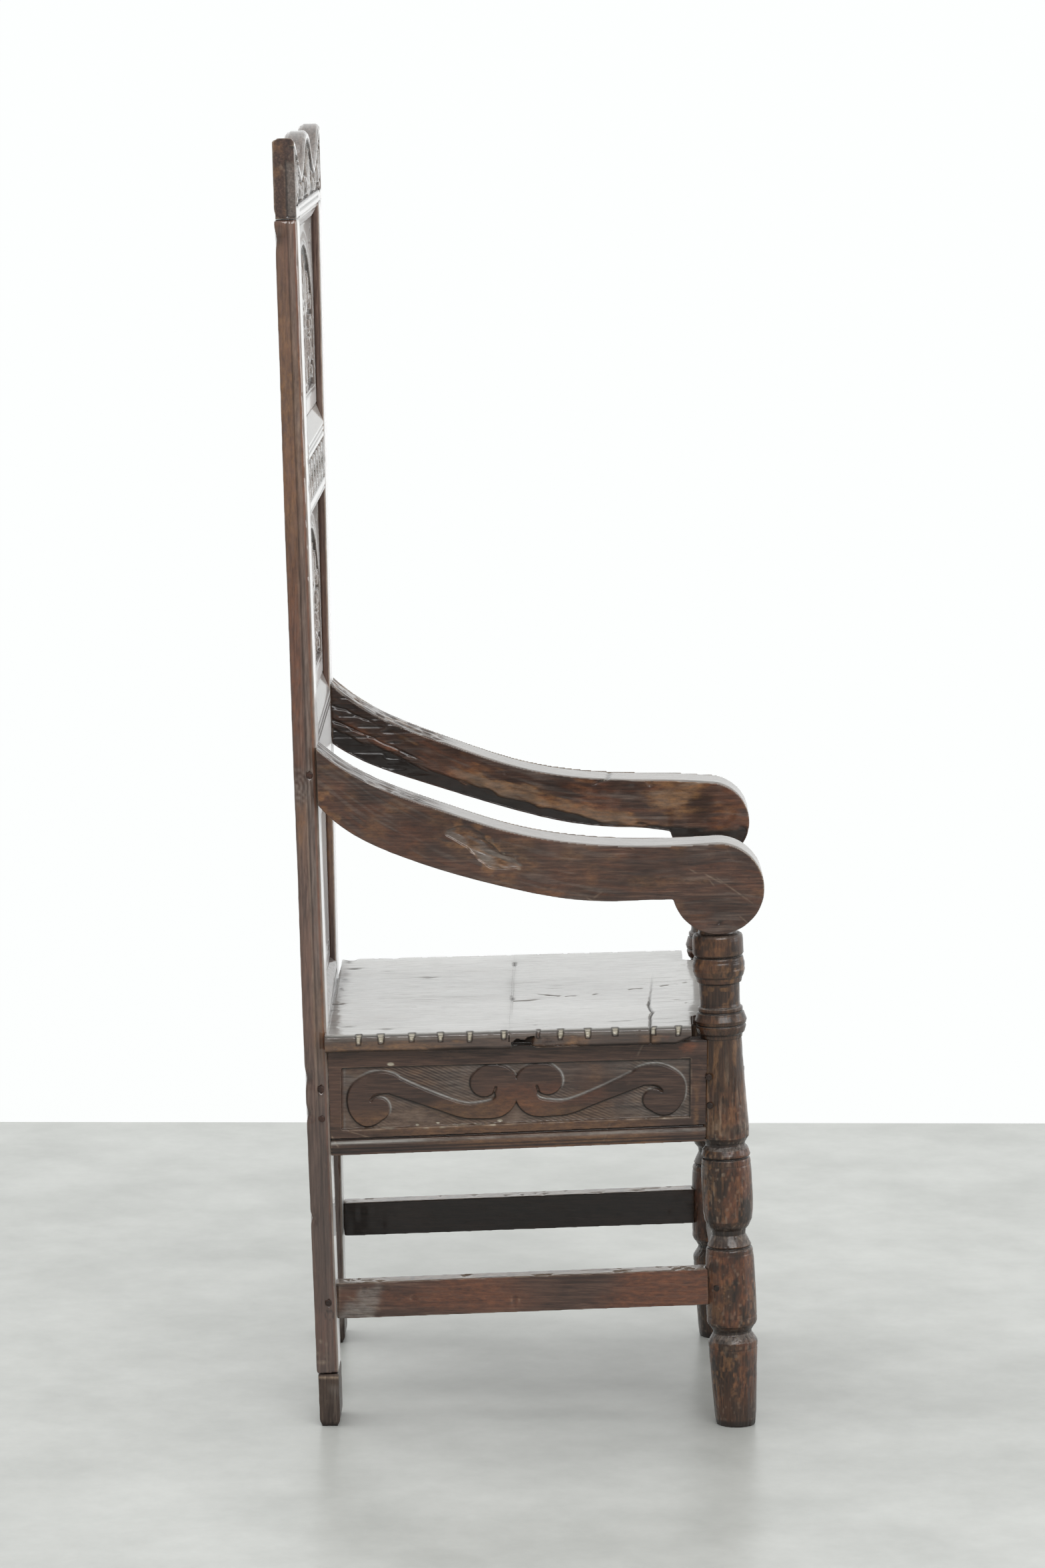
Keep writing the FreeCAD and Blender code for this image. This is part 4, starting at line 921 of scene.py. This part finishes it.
        wood.cut(end * cloudy(-0.1, 0.4, p, 7, 7, (1, 2.5, 1)) * smooth(232, 222, x), 1.6, 0.5)
        wood.daub(PALE, 0.6 * end * cloudy(0.1, 0.5, p, 5, 3, (1, 3, 1)))
    centre_y = post_axis(side, 560)
    rise = z - SCROLL_Z - side.lift
    scroll = np.hypot(y - centre_y, rise)
    on_scroll = smooth(50, 44, scroll)
    around = np.stack([y * 0, scroll, np.arctan2(rise, y - centre_y) * 20], 1)
    wood.daub(DARK, 0.30 * outer * on_scroll * cloudy(0.55, 0.75, around, 3.4, 5))
    wood.daub(DARK, 0.35 * outer * cloudy(0.2, 0.7, p, 30, 6, (1, 2, 1)))
    scratches(wood, 13 + side.sign, 7, y, z, outer, (6, 16), 0.3)
    shadow_line = np.abs(z - 628 - side.lift) + 30 * (y > -395) + 30 * (y < -470)
    wood.push(-0.2 * (outer + inner) * bell(shadow_line, 0, 0.9))
    wood.daub(RUST, 0.30 * outer * cloudy(0.0, 0.6, p, 24, 2, (1, 1.6, 1)))
    wood.daub(OCHRE, 0.35 * outer * cloudy(0.1, 0.7, p, 13, 5, (1, 1.8, 1)))
    squareness = np.maximum(np.abs(n[:, 0]), np.hypot(n[:, 1], n[:, 2]))
    arris = smooth(0.95, 0.84, squareness) * smooth(-0.1, 0.3, n[:, 2])
    wood.daub(PALE, arris * cloudy(-0.9, 0.0, p, 12, 8))
    wood.daub(CHIP, 0.6 * arris * cloudy(-0.5, 0.3, p, 17, 3))
    wood.age_edges(8, 0.6, 0.35, 0.36, PALE, smooth(-0.2, 0.3, n[:, 2]) + 0.1)
    wood.done(forward_oak)


def arm_top(y):
    """Height of the arm's upper arris."""
    heights = [(-480, 640), (-440, 645), (-400, 641), (-360, 638), (-300, 641), (-240, 651), (-180, 667),
               (-120, 690), (-60, 722), (0, 764)]
    return np.interp(y, [a for a, _ in heights], [b for _, b in heights])


for side, name in SIDES:
    arm(side, "arm_" + name)


# ---- stretchers and front bars
def stretcher(side, name):
    wood = Wood(name, 1.0, squeeze=(1, 0.5, 1))
    p = wood.first
    y, z = p[:, 1], p[:, 2]
    outer = facing(wood, 0, side.sign)
    upper = facing(wood, 2, 1)
    worn_all_over(wood, 0.4, 61 + side.sign, (1, 5, 1))
    grain = noise(p, 2.4, 6, (1, 22, 1))
    wood.push(-0.25 * outer * smooth(0.3, 0.8, grain))
    if side.sign < 0:
        wood.daub(RUST, 0.6 * outer * cloudy(-0.5, 0.4, p, 26, 2, (1, 4, 1)))
        patch = smooth(-72, -58, y + 3 * noise(p, 7, 8)) * cloudy(-0.6, 0.5, p, 13, 3, (1, 1.3, 1))
        wood.daub(GREY, 0.85 * outer * patch)
        wood.push(-0.6 * outer * smooth(-72, -60, y))
        wood.daub(DARK, 0.9 * outer * bell(y, -17.8, 1.2))
        wood.push(-0.8 * outer * bell(y, -17.8, 1.2))
        scratch(wood, y, z, (-28, 143), (-64, 129), outer, 0.5, 0.7, 0.9)
        scratch(wood, y, z, (-33, 126), (-58, 121), outer, 0.4, 0.5, 0.9)
    else:
        # painted shade over all but the top of the left stretcher
        wood.daub(DARK, 0.85 * (1 - upper))
    dents = noise(p, 14, 5, (1, 1.5, 1)) + 0.6 * noise(p, 5, 6)
    wood.push(-1.1 * upper * smooth(0.35, 0.9, dents))
    wood.daub(PALE, 0.75 * upper * smooth(-0.6, 0.5, dents + 0.4))
    wood.daub(GREY, 0.5 * upper)
    wood.age_edges(5, 0.6, 0.3, 0.16)
    wood.done(forward_oak)


for side, name in SIDES:
    stretcher(side, "stretcher_" + name)
for name in ("seat_rail_front", "stretcher_front"):
    wood = Wood(name, 1.2, squeeze=(0.6, 1, 1))
    worn_all_over(wood, 0.4, 71, (5, 1, 1))
    wood.age_edges(5, 0.6, 0.4, 0.18)
    wood.done(across_oak)


# ---- the carved back
def back_piece(name, voxel, squeeze=(1, 1, 1), rounds=1):
    wood = Wood(name, voxel, rounds, squeeze=squeeze)
    face = facing(wood, 1, -1, 0.5, 0.85)
    # painted glare, grey and pale, on the front faces
    wood.daub(GREY, 0.25 * face)
    wood.daub(GLARE, 0.22 * face)
    return wood, wood.first[:, 0], wood.first[:, 2], face


def crest_line(x):
    """Height of the crest's notched top."""
    x = np.abs(x)
    inner = np.interp(x, [0, 18, 35, 54, 73, 95, 115], [1396, 1395, 1391, 1380, 1369, 1359, 1354])
    outer = np.interp(x, [115, 155, 186, 211, 229], [1354, 1368, 1383, 1393, 1396])
    return np.where(x < 115, inner, outer)


def crest():
    wood, x, z, face = back_piece("crest_rail", 0.95, (0.9, 1, 1))
    below = crest_line(x) - z
    field = face * smooth(8.5, 10.5, below) * smooth(1322, 1324.5, z) * smooth(220.5, 218.5, np.abs(x))
    shapes = palmette(x, z, (0, 1327), 56, 7, 2.3)
    for sign in (-1, 1):
        corner = palmette(x, z, (sign * 196, 1327), 54, 5, 1.5, math.pi / 2 + 0.12 * sign)
        shapes = most(shapes, corner, rosette(x, z, (sign * 115, 1335), 13, 6))
        for reach, lift in ((62, 1344), (160, 1347)):
            curl = ribbon(x, z, [(sign * (reach + out), lift + up, half) for out, up, half in
                                 ((-4, -6, 3.0), (0, 3, 2.6), (8, 2, 2.4), (8, -6, 2.0))], 8)
            stalk = leaf(x, z, (sign * 112, 1327), (sign * reach, lift), 7)
            shapes = most(shapes, stalk, smooth(0.8, -1.2, curl))
    wood.push(field * (-1.6 + 4.0 * shapes))
    wood.daub(DARK, 0.8 * field * smooth(0.35, 0.05, shapes))
    rim = face * bell(below, 9.5, 1.0) * smooth(1330, 1336, z)
    wood.daub(DARK, 0.5 * rim)
    for height in (1317.0, 1304.5):
        wood.push(-0.9 * face * bell(z, height, 1.0) * smooth(170, 160, np.abs(x)))
        wood.daub(DARK, 0.4 * face * bell(z, height, 1.1) * smooth(170, 160, np.abs(x)))
    worn_all_over(wood, 0.3, 81, (3, 1, 1), face)
    for side, _ in SIDES:
        end = facing(wood, 0, side.sign)
        across = (wood.first[:, 1] - stile_front(side, z)) / STILE_THICK
        strip = end * smooth(0.44, 0.40, across) * smooth(1312, 1314.5, z) * smooth(1374, 1366, z)
        wood.p[:, 1] -= 1.2 * smooth(1322, 1308, z) * facing(wood, 1, 1)
        line = end * (bell(across, 0.42, 0.04) * smooth(1311, 1314, z) * smooth(1376, 1368, z)
                      + bell(z, 1312.5, 0.9) * smooth(0.46, 0.40, across))
        wood.push(-0.6 * strip - 0.9 * line)
        wood.daub(GREY, 0.6 * strip)
        wood.daub(DARK, 0.8 * line)
        wood.daub(OCHRE, 0.6 * end * smooth(0.45, 0.55, across) * cloudy(0.0, 0.6, wood.first, 14, 3))
        frayed = cloudy(0.3, 0.7, wood.first, 4, 6) * bell(z, 1368, 7) * smooth(0.9, 0.5, across)
        wood.daub(PALE, 0.7 * end * frayed)
    top = smooth(3.5, 0.0, below)
    slope = wood.first[:, 1] - np.interp(x, [-195, 195], [stile_back(RIGHT, 1360), stile_back(LEFT, 1360)])
    slope = slope + STILE_THICK / 2
    wood.p[:, 1] -= 0.16 * slope * top
    wood.p[:, 2] -= 1.6 * smooth(0.62, 1.0, np.abs(slope) / (STILE_THICK / 2)) * smooth(9, 0, below)
    wood.daub(GREY, 0.5 * smooth(0.4, 0.8, wood.n[:, 2]))
    wood.age_edges(6, 0.6, 0.6, 0.2)
    wood.done(across_oak)


# base and tip of each leaf beside the stem, as (distance from the middle, share of the height), and its width
PANEL_LEAVES = (((28, 0.20), (40, 0.36), 7), ((52, 0.17), (50, 0.02), 7), ((100, 0.25), (128, 0.14), 6),
                ((106, 0.36), (130, 0.46), 6), ((12, 0.42), (36, 0.34), 6), ((92, 0.12), (122, 0.02), 7),
                ((98, 0.50), (124, 0.60), 7), ((70, 0.24), (74, 0.06), 6))


def panel(name, low, high, seed):
    """A sunk arch filled with a stem, leaves and flowers, and a leaf in each corner above it."""
    wood, x, z, face = back_piece(name, 0.95, (1, 1, 0.85))
    bottom, top = low + 24, high - 24
    half, rise = 138, 70
    spring = top - rise
    crown = (half ** 2 + rise ** 2) / (2 * rise)
    arch = np.where(z > spring, crown - np.hypot(x, z - (top - crown)), half - np.abs(x))
    arch = np.minimum(arch, z - bottom)
    field = face * smooth(-0.5, 1.0, arch)
    tall = top - bottom
    foot_z = bottom + 4
    shapes = most(smooth(1.0, -1.0, np.abs(x) - 2.6) * (z < foot_z + 0.55 * tall),
                  palmette(x, z, (0, foot_z + 0.52 * tall), 0.40 * tall, 7, 2.6),
                  palmette(x, z, (0, foot_z), 0.20 * tall, 5, 2.7))
    for sign in (-1, 1):
        def at(across, up, *half_width):
            return (sign * across, foot_z + up * tall, *half_width)

        stem = ribbon(x, z, [at(0, 0.10, 2.6), at(34, 0.20, 2.6), at(72, 0.16, 2.5), at(104, 0.26, 2.4),
                             at(108, 0.42, 2.2), at(84, 0.46, 2.0)], 12)
        upper_stem = ribbon(x, z, [at(0, 0.40, 2.4), at(30, 0.50, 2.4), at(52, 0.62, 2.2)], 12)
        shapes = most(shapes, smooth(1.0, -1.0, stem), smooth(1.0, -1.0, upper_stem),
                      rosette(x, z, at(82, 0.34), 0.125 * tall, 8, 0.3),
                      palmette(x, z, at(62, 0.60), 0.20 * tall, 5, 2.4, math.pi / 2 - sign * 0.6))
        for base, tip, width in PANEL_LEAVES:
            shapes = np.maximum(shapes, leaf(x, z, at(*base), at(*tip), width))
    wood.push(field * (-2.6 + 4.6 * shapes))
    wood.daub(DARK, 0.8 * field * smooth(0.4, 0.05, shapes))
    frame_line = face * bell(arch, -4.5, 1.2)
    run = np.where(z > spring, np.arctan2(z - (top - crown), x) * crown, z)
    scallop = 0.5 + 0.5 * np.cos(run * 2 * math.pi / 11)
    nulls = face * smooth(-16, -13, arch) * smooth(-6, -8.5, arch) * (z > bottom)
    wood.push(-frame_line - 1.5 * nulls * scallop)
    wood.daub(DARK, 0.6 * frame_line + 0.5 * nulls * scallop)
    for sign in (-1, 1):
        corner = leaf(x, z, (sign * 150, top + 12), (sign * 96, top - 2), 9)
        corner = np.maximum(corner, leaf(x, z, (sign * 152, top + 10), (sign * 146, top - 46), 9))
        wood.push(face * (-1.8 * smooth(0.05, 0.35, corner) * (1 - 0.6 * corner)))
        wood.daub(DARK, 0.35 * face * smooth(0.1, 0.4, corner))
    worn_all_over(wood, 0.3, 91 + seed, (1, 1, 3), face)
    wood.age_edges(6, 0.5, 0.6, 0.25)
    wood.done(upright_oak)


def middle_rail():
    wood, x, z, face = back_piece("rail_middle", 0.95, (0.9, 1, 1))
    middle, half, pitch = 1025.0, 22.5, 54.0
    field = face * smooth(half + 1.0, half - 0.6, np.abs(z - middle)) * smooth(156, 154, np.abs(x))
    wave = 15.5 * np.cos(2 * math.pi * x / (2 * pitch))
    slope = 1 / np.sqrt(1 + (15.5 * math.pi / pitch * np.sin(math.pi * x / pitch)) ** 2)
    first = np.abs(z - middle - wave) * slope
    second = np.abs(z - middle + wave) * slope
    over = np.cos(math.pi * (x / pitch - 0.5)) > 0
    band_a = smooth(6.2, 4.9, first)
    band_b = smooth(6.2, 4.9, second)
    line_a = bell(first, 2.2, 0.9)
    line_b = bell(second, 2.2, 0.9)
    gap = smooth(8.4, 6.4, np.where(over, first, second))
    height = np.where(over, np.maximum(band_a, band_b * (1 - gap)), np.maximum(band_b, band_a * (1 - gap)))
    lines = np.where(over, np.maximum(line_a * band_a, line_b * band_b * (1 - gap)),
                     np.maximum(line_b * band_b, line_a * band_a * (1 - gap)))
    shapes = height - 0.25 * lines
    for i in range(-3, 4):
        shapes = np.maximum(shapes, rosette(x, z, (i * pitch, middle), 9.5, 6))
        between = (i + 0.5) * pitch
        shapes = most(shapes, leaf(x, z, (between, middle + 22), (between, middle + 9), 7, 0.3),
                      leaf(x, z, (between, middle - 22), (between, middle - 9), 7, 0.3))
    wood.push(field * (-3.8 + 3.9 * shapes))
    wood.daub(DARK, 0.8 * field * smooth(0.5, 0.1, shapes))
    for height_z in (1054.5, 1060.0, 992.0):
        line = face * bell(z, height_z, 1.0)
        wood.cut(line, 0.9, 0.4)
    worn_all_over(wood, 0.3, 95, (3, 1, 1), face)
    wood.age_edges(6, 0.5, 0.6, 0.25)
    wood.done(across_oak)


def moulded_rail(name, heights, seed):
    wood, _, z, face = back_piece(name, 1.1, (0.6, 1, 1))
    for height_z in heights:
        line = face * bell(z, height_z, 1.2)
        wood.cut(line, 1.0, 0.45)
    worn_all_over(wood, 0.35, seed, (3, 1, 1), face)
    wood.age_edges(6, 0.5, 0.5, 0.25)
    wood.done(across_oak)


crest()
middle_rail()
panel("panel_upper", 1085, 1295, 0)
panel("panel_middle", 780, 983, 1)
moulded_rail("rail_arm_level", (752.0, 745.0, 677.0), 96)
moulded_rail("rail_seat_back", (438.0, 342.0), 97)
lower, x, z, face = back_piece("panel_lower", 1.3)
for inset in (17.0, 24.0):
    edge = np.minimum(162 - np.abs(x), np.minimum(z - 452, 663 - z))
    lower.push(-1.1 * face * bell(edge, inset, 1.4))
    lower.daub(DARK, 0.45 * face * bell(edge, inset, 1.5))
worn_all_over(lower, 0.35, 98, (1, 1, 3), 0.7 * face)
lower.age_edges(6, 0.5, 0.5, 0.25)
lower.done(upright_oak)


# ---- the seat
# where along the seat's edge each nick is cut, and how wide it is
NICKS = ((-42.9, 1.0), (-67.3, 1.15), (-100.3, 1.0), (-131.1, 0.95), (-162.7, 0.9), (-199.3, 0.85),
         (-236.6, 0.5), (-260.2, 0.95), (-289.6, 1.0), (-319.0, 1.05), (-359.9, 1.0), (-387.1, 0.9))


def seat_top(y):
    """Height of the seat boards' top."""
    rear, front = stile_front(RIGHT, RAIL_TOP), post_axis(RIGHT, RAIL_TOP + TOP_RISE)
    return RAIL_TOP + TOP_RISE * (y - rear) / (front - rear) + BOARD_THICK


def seat(name, front_board):
    wood = Wood(name, 0.95, squeeze=(0.8, 1, 1))
    p, n = wood.first, wood.n
    x, y, z = p[:, 0], p[:, 1], p[:, 2]
    upper = facing(wood, 2, 1, 0.4, 0.85)
    near = smooth(0.0, -20, x)
    rim = SEAT_X - np.abs(x)
    drop = seat_top(y) - z
    flank = smooth(0.25, 0.7, np.abs(n[:, 0]))
    worn_all_over(wood, 0.45, 101 + front_board, (1, 3, 1), 0.6 * upper)
    dished = bell(x, 0, 150) * bell(y, -250, 120)
    wood.p[:, 2] -= 1.8 * dished * upper

    # painted glare over the seat's top, dimmed where dirt and painted shade darken the strip along the back
    # edge
    glare_patchiness = 0.88 + 0.2 * noise(p, 30, 2, (1.5, 3, 1))
    back_dirt_and_shade = smooth(-26, -4, y + 6 * noise(p, 9, 3)) * smooth(245, 150, x)
    back_dirt_and_shade = back_dirt_and_shade * (0.6 + 0.4 * smooth(-120, 20, x))
    wood.daub(GLARE, upper * glare_patchiness * (1 - 0.75 * back_dirt_and_shade))
    wood.daub(DARK, 0.45 * upper * back_dirt_and_shade)
    streaks = cloudy(0.30, 0.85, p, 4.0, 5, (1, 6, 1)) * cloudy(-0.5, 0.4, p, 60, 1)
    wood.cut(upper * streaks, 0.15, 0.24)
    crosswise = cloudy(0.45, 0.9, p, 4.0, 7, (9, 1, 1)) * cloudy(0.1, 0.6, p, 70, 4)
    wood.daub(DARK, 0.14 * upper * crosswise)

    wood.daub(DARK, 0.75 * bell(drop, 1.5, 0.8) * smooth(6, 3, rim))
    lit = flank * smooth(2.0, 3.0, drop) * smooth(7.5, 5.5, drop)
    wood.daub(GREY, 0.70 * lit * (0.75 + 0.4 * noise(p, 16, 4)))
    wood.daub(OCHRE, 0.5 * flank * smooth(7, 9, drop) * cloudy(0.1, 0.6, p, 13, 9, (1, 2, 1)))
    wood.daub(DARK, 0.95 * flank * smooth(14.5, 18, drop + 1.5 * noise(p, 14, 3, (1, 2, 1))))

    draw = np.random.default_rng(17)
    for place, weight in NICKS:
        wide, deep, far = 2.9 * weight, draw.uniform(8.0, 11.5), draw.uniform(-4, 4)
        off = np.abs(y - np.where(x < 0, place, place + far) - 0.8 * noise(p, 5, 2))
        half = wide * (1.08 - 0.035 * drop)
        core = smooth(half, half - 0.9, off) * smooth(deep, deep - 2.5, drop) * smooth(7.5, 6, rim)
        rind = smooth(half + 1.5, half + 0.7, off) * smooth(deep + 1.3, deep + 0.5, drop)
        rind = rind * smooth(9, 8, rim) * (1 - core)
        wood.push(-2.4 * core * np.where(x < 0, 1, 0.5))
        tone = 1.0 if weight > 0.6 else 0.0
        wood.daub(CHIP, 0.8 * core * tone * np.where(x < 0, 1.0, 0.25))
        wood.daub(RUST, core * (1 - tone) * 0.7)
        wood.daub(DARK, 0.8 * rind * np.where(x < 0, 1.0, 0.5))
    if front_board:
        course = np.interp(y, [-408, -340, -303, -266, -229, -207.4], [33, -2, -19, -32, -12, -20.4])
        broken = smooth(0.1, 0.4, noise(p, 8, 7, (1, 1.2, 1)) + 0.25 * bell(y, -255, 30))
        mark = bell(x, course + 4 * noise(p, 9, 6), 1.5 + 0.7 * noise(p, 5, 2)) * upper
        wood.cut(mark * broken, 1.4, 0.85)
        short = bell(x, -54 - 0.22 * (y + 207) + 2 * noise(p, 9, 3), 2.0) * smooth(-246, -214, y) * upper
        wood.cut(short, 1.6, 0.95)
        course = np.interp(x, [-245, -200, -183, -151, -142, -110, -73, 23, 88],
                           [-357, -357.6, -357.2, -360.3, -358.4, -356.2, -358, -361, -362])
        course = course + 0.6 * noise(np.stack([x, x * 0, x * 0], 1), 9, 5)
        faint = smooth(110, -70, x)
        mark = bell(y, course, 0.75 + 0.55 * smooth(-60, -110, x)) * faint
        wood.push(-2.2 * mark * (upper + smooth(6, 0, rim)))
        wood.daub(DARK, 0.98 * mark * (0.45 + 0.55 * smooth(-50, -90, x)) * (upper + smooth(8, 4, rim)))
        lip = 6.0 + 0.28 * (y + 231) + 2.6 * noise(p, 7, 5) + 1.2 * noise(p, 3, 4)
        gone = smooth(-233, -229, y + 2.5 * noise(p, 5, 6)) * smooth(lip, lip + 1.6, drop)
        gone = gone * smooth(14, 8, rim) * (x < 0)
        wood.cut(gone, 6.0, 1.0)
        gnarl = smooth(-284, -276, y) * smooth(-227, -231, y) * flank * near * smooth(5, 8, drop)
        wood.push(gnarl * (-1.6 + 1.5 * noise(p, 5, 8)))
        wood.daub(OCHRE, 0.95 * gnarl * cloudy(-0.3, 0.3, p, 6, 2, (1, 2, 1)))
        wood.daub(RUST, 0.7 * flank * near * smooth(8, 11, drop) * cloudy(-0.1, 0.4, p, 8, 4, (1, 1.6, 1))
                  * bell(y, -371, 16))
        for px, py in ((-203, -318), (-199, -332)):
            spot = bell(x, px, 3) * bell(y, py, 7)
            wood.daub(DARK, 0.6 * spot * upper)
        wood.p[:, 2] += 7 * smooth(-382, -403, y) * smooth(6, 19, drop) * near
        joint = smooth(-210, -207, y) * upper
        wood.p[:, 1] += 2.0 * smooth(-209.5, -206.8, y)
    else:
        for px, py, reach_x, reach_y, deep in ((-52, -8, 5, 12, 0.9), (-40, -3, 4, 5, 0.95),
                                               (-93, -6, 4, 6, 0.8), (176, -22, 5, 9, 0.8),
                                               (240, -62, 6, 8, 0.7), (106, -110, 4, 12, 0.55),
                                               (-213, -72, 5, 9, 0.5), (-194, -28, 5, 8, 0.4),
                                               (150, -60, 4, 6, 0.3)):
            spot = bell(x, px + 2 * noise(p, 6, 3), reach_x) * bell(y, py, reach_y) * upper
            wood.push(-1.3 * deep * spot)
            wood.daub(DARK, deep * spot)
        corner = np.hypot((x - 238) / 1.5, (y + 17) / 1.0)
        wood.cut(smooth(9, 3, corner), 2.0, 0.8)
        joint = smooth(-202, -205, y) * upper
        wood.p[:, 1] -= 1.0 * smooth(-202.5, -205.2, y)
        wood.p[:, 1] += 2.6 * smooth(-12.5, -9.2, y)
        # dirt and painted shade along the back edge, where the seat meets the back
        wood.daub(DARK, 0.8 * bell(y, -14, 3.5) * upper * cloudy(0.0, 0.6, p, 14, 2) * smooth(-130, 0, x))
    chips = 0.5 * cloudy(0.3, 0.7, p, 12, 6) + bell(x, 178, 20)
    chips = chips + 0.8 * bell(x, -40, 20) + 0.6 * bell(x, 50, 7)
    wood.push(-1.2 * joint * smooth(0.5, 0.9, chips))
    wood.daub(DARK, joint * (0.06 + 0.85 * smooth(0.45, 0.95, chips)))
    wood.done(seat_oak, "oak_seat")


seat("seat_board_rear", 0)
seat("seat_board_front", 1)


# ---- pegs
for name in ("pegs_right", "pegs_left", "pegs_back", "pegs_front"):
    wood = Wood(name, 0.65, 2)
    wood.push(0.15 * noise(wood.first, 3, 1))
    wood.daub(DARK, 0.5 * cloudy(-0.2, 0.6, wood.first, 4, 2))
    wood.done(peg_oak, "oak_pegs")


# ---- stage, light and camera
def plane(name, corners, material):
    """A flat part of the stage."""
    mesh = bpy.data.meshes.new(name)
    mesh.from_pydata(corners, [], [(0, 1, 2, 3)])
    mesh.materials.append(material)
    obj = add(name, mesh)


floor_paint, tree = new_material("floor_paint")
shader = tree.nodes["Principled BSDF"]
place = tree.nodes.new("ShaderNodeTexCoord")
cloud = tree.nodes.new("ShaderNodeTexNoise")
dial(cloud, {"Scale": 4.4, "Detail": 8.0, "Roughness": 0.7})
tones = tree.nodes.new("ShaderNodeValToRGB")
set_ramp(tones, ((0.36, (0.455, 0.467, 0.443)), (0.66, (0.575, 0.587, 0.560))))
link(tree, place.outputs["Object"], cloud.inputs["Vector"])
link(tree, cloud.outputs["Fac"], tones.inputs["Fac"])
link(tree, tones.outputs["Color"], shader.inputs["Base Color"])
dial(shader, {"Roughness": 0.34, "Specular IOR Level": 0.4})
plane("floor", [(-12, -9, 0), (9, -9, 0), (9, 9, 0), (-12, 9, 0)], floor_paint)

wall_paint, tree = new_material("wall_paint")
dial(tree.nodes["Principled BSDF"], {"Base Color": (0.02, 0.02, 0.02, 1), "Roughness": 1.0,
                                     "Specular IOR Level": 0.0, "Emission Color": (0.985, 1, 0.995, 1),
                                     "Emission Strength": 0.982})
near_end, far_end = 1.482, 1.422  # how far behind the chair the backdrop stands at its two ends
plane("backdrop", [(near_end, -9, -0.01), (far_end, 9, -0.01), (far_end, 9, 6), (near_end, -9, 6)],
      wall_paint)


def area(name, place, aim, size, power):
    """A rectangular lamp that looks at a spot."""
    data = bpy.data.lights.new(name, "AREA")
    data.shape = "RECTANGLE"
    data.size, data.size_y = size
    data.energy = power
    lamp = add(name, data)
    lamp.location = place
    lamp.rotation_euler = (Vector(aim) - Vector(place)).to_track_quat("-Z", "Y").to_euler()


area("window", (-4.6, -1.5, 3.6), (0, 0, 0.7), (4.2, 2.0), 150)
area("top", (0.8, 2.0, 4.6), (0.4, 0.8, 0), (5.5, 5.5), 150)
area("front", (-0.5, -6.5, 1.6), (0, 0, 0.8), (3.0, 2.0), 70)

world = bpy.context.scene.world or bpy.data.worlds.new("studio")
bpy.context.scene.world = world
world.use_nodes = True
dial(world.node_tree.nodes["Background"], {"Color": (1, 1, 1, 1), "Strength": 0.42})

bpy.context.scene.view_settings.view_transform = "Standard"

# the camera fitted to the photo: it looks 8 degrees down, at the chair's right side
pitch = math.radians(8.1543)
yaw = math.radians(0.6050)
forward = Vector((math.cos(yaw) * math.cos(pitch), math.sin(yaw) * math.cos(pitch), -math.sin(pitch)))
right = Vector((math.sin(yaw), -math.cos(yaw), 0))
up = right.cross(forward)
camera_data = bpy.data.cameras.new("camera")
camera_data.sensor_fit = "VERTICAL"
camera_data.sensor_height = 36
camera_data.lens = 139.162
camera_data.clip_end = 60
camera = add("camera", camera_data)
turn = Matrix((right, up, -forward)).transposed()
camera.matrix_world = Matrix.Translation((-6.659, (-287.087 + SHIFT) * MM, 1.628517)) @ turn.to_4x4()
bpy.context.scene.camera = camera
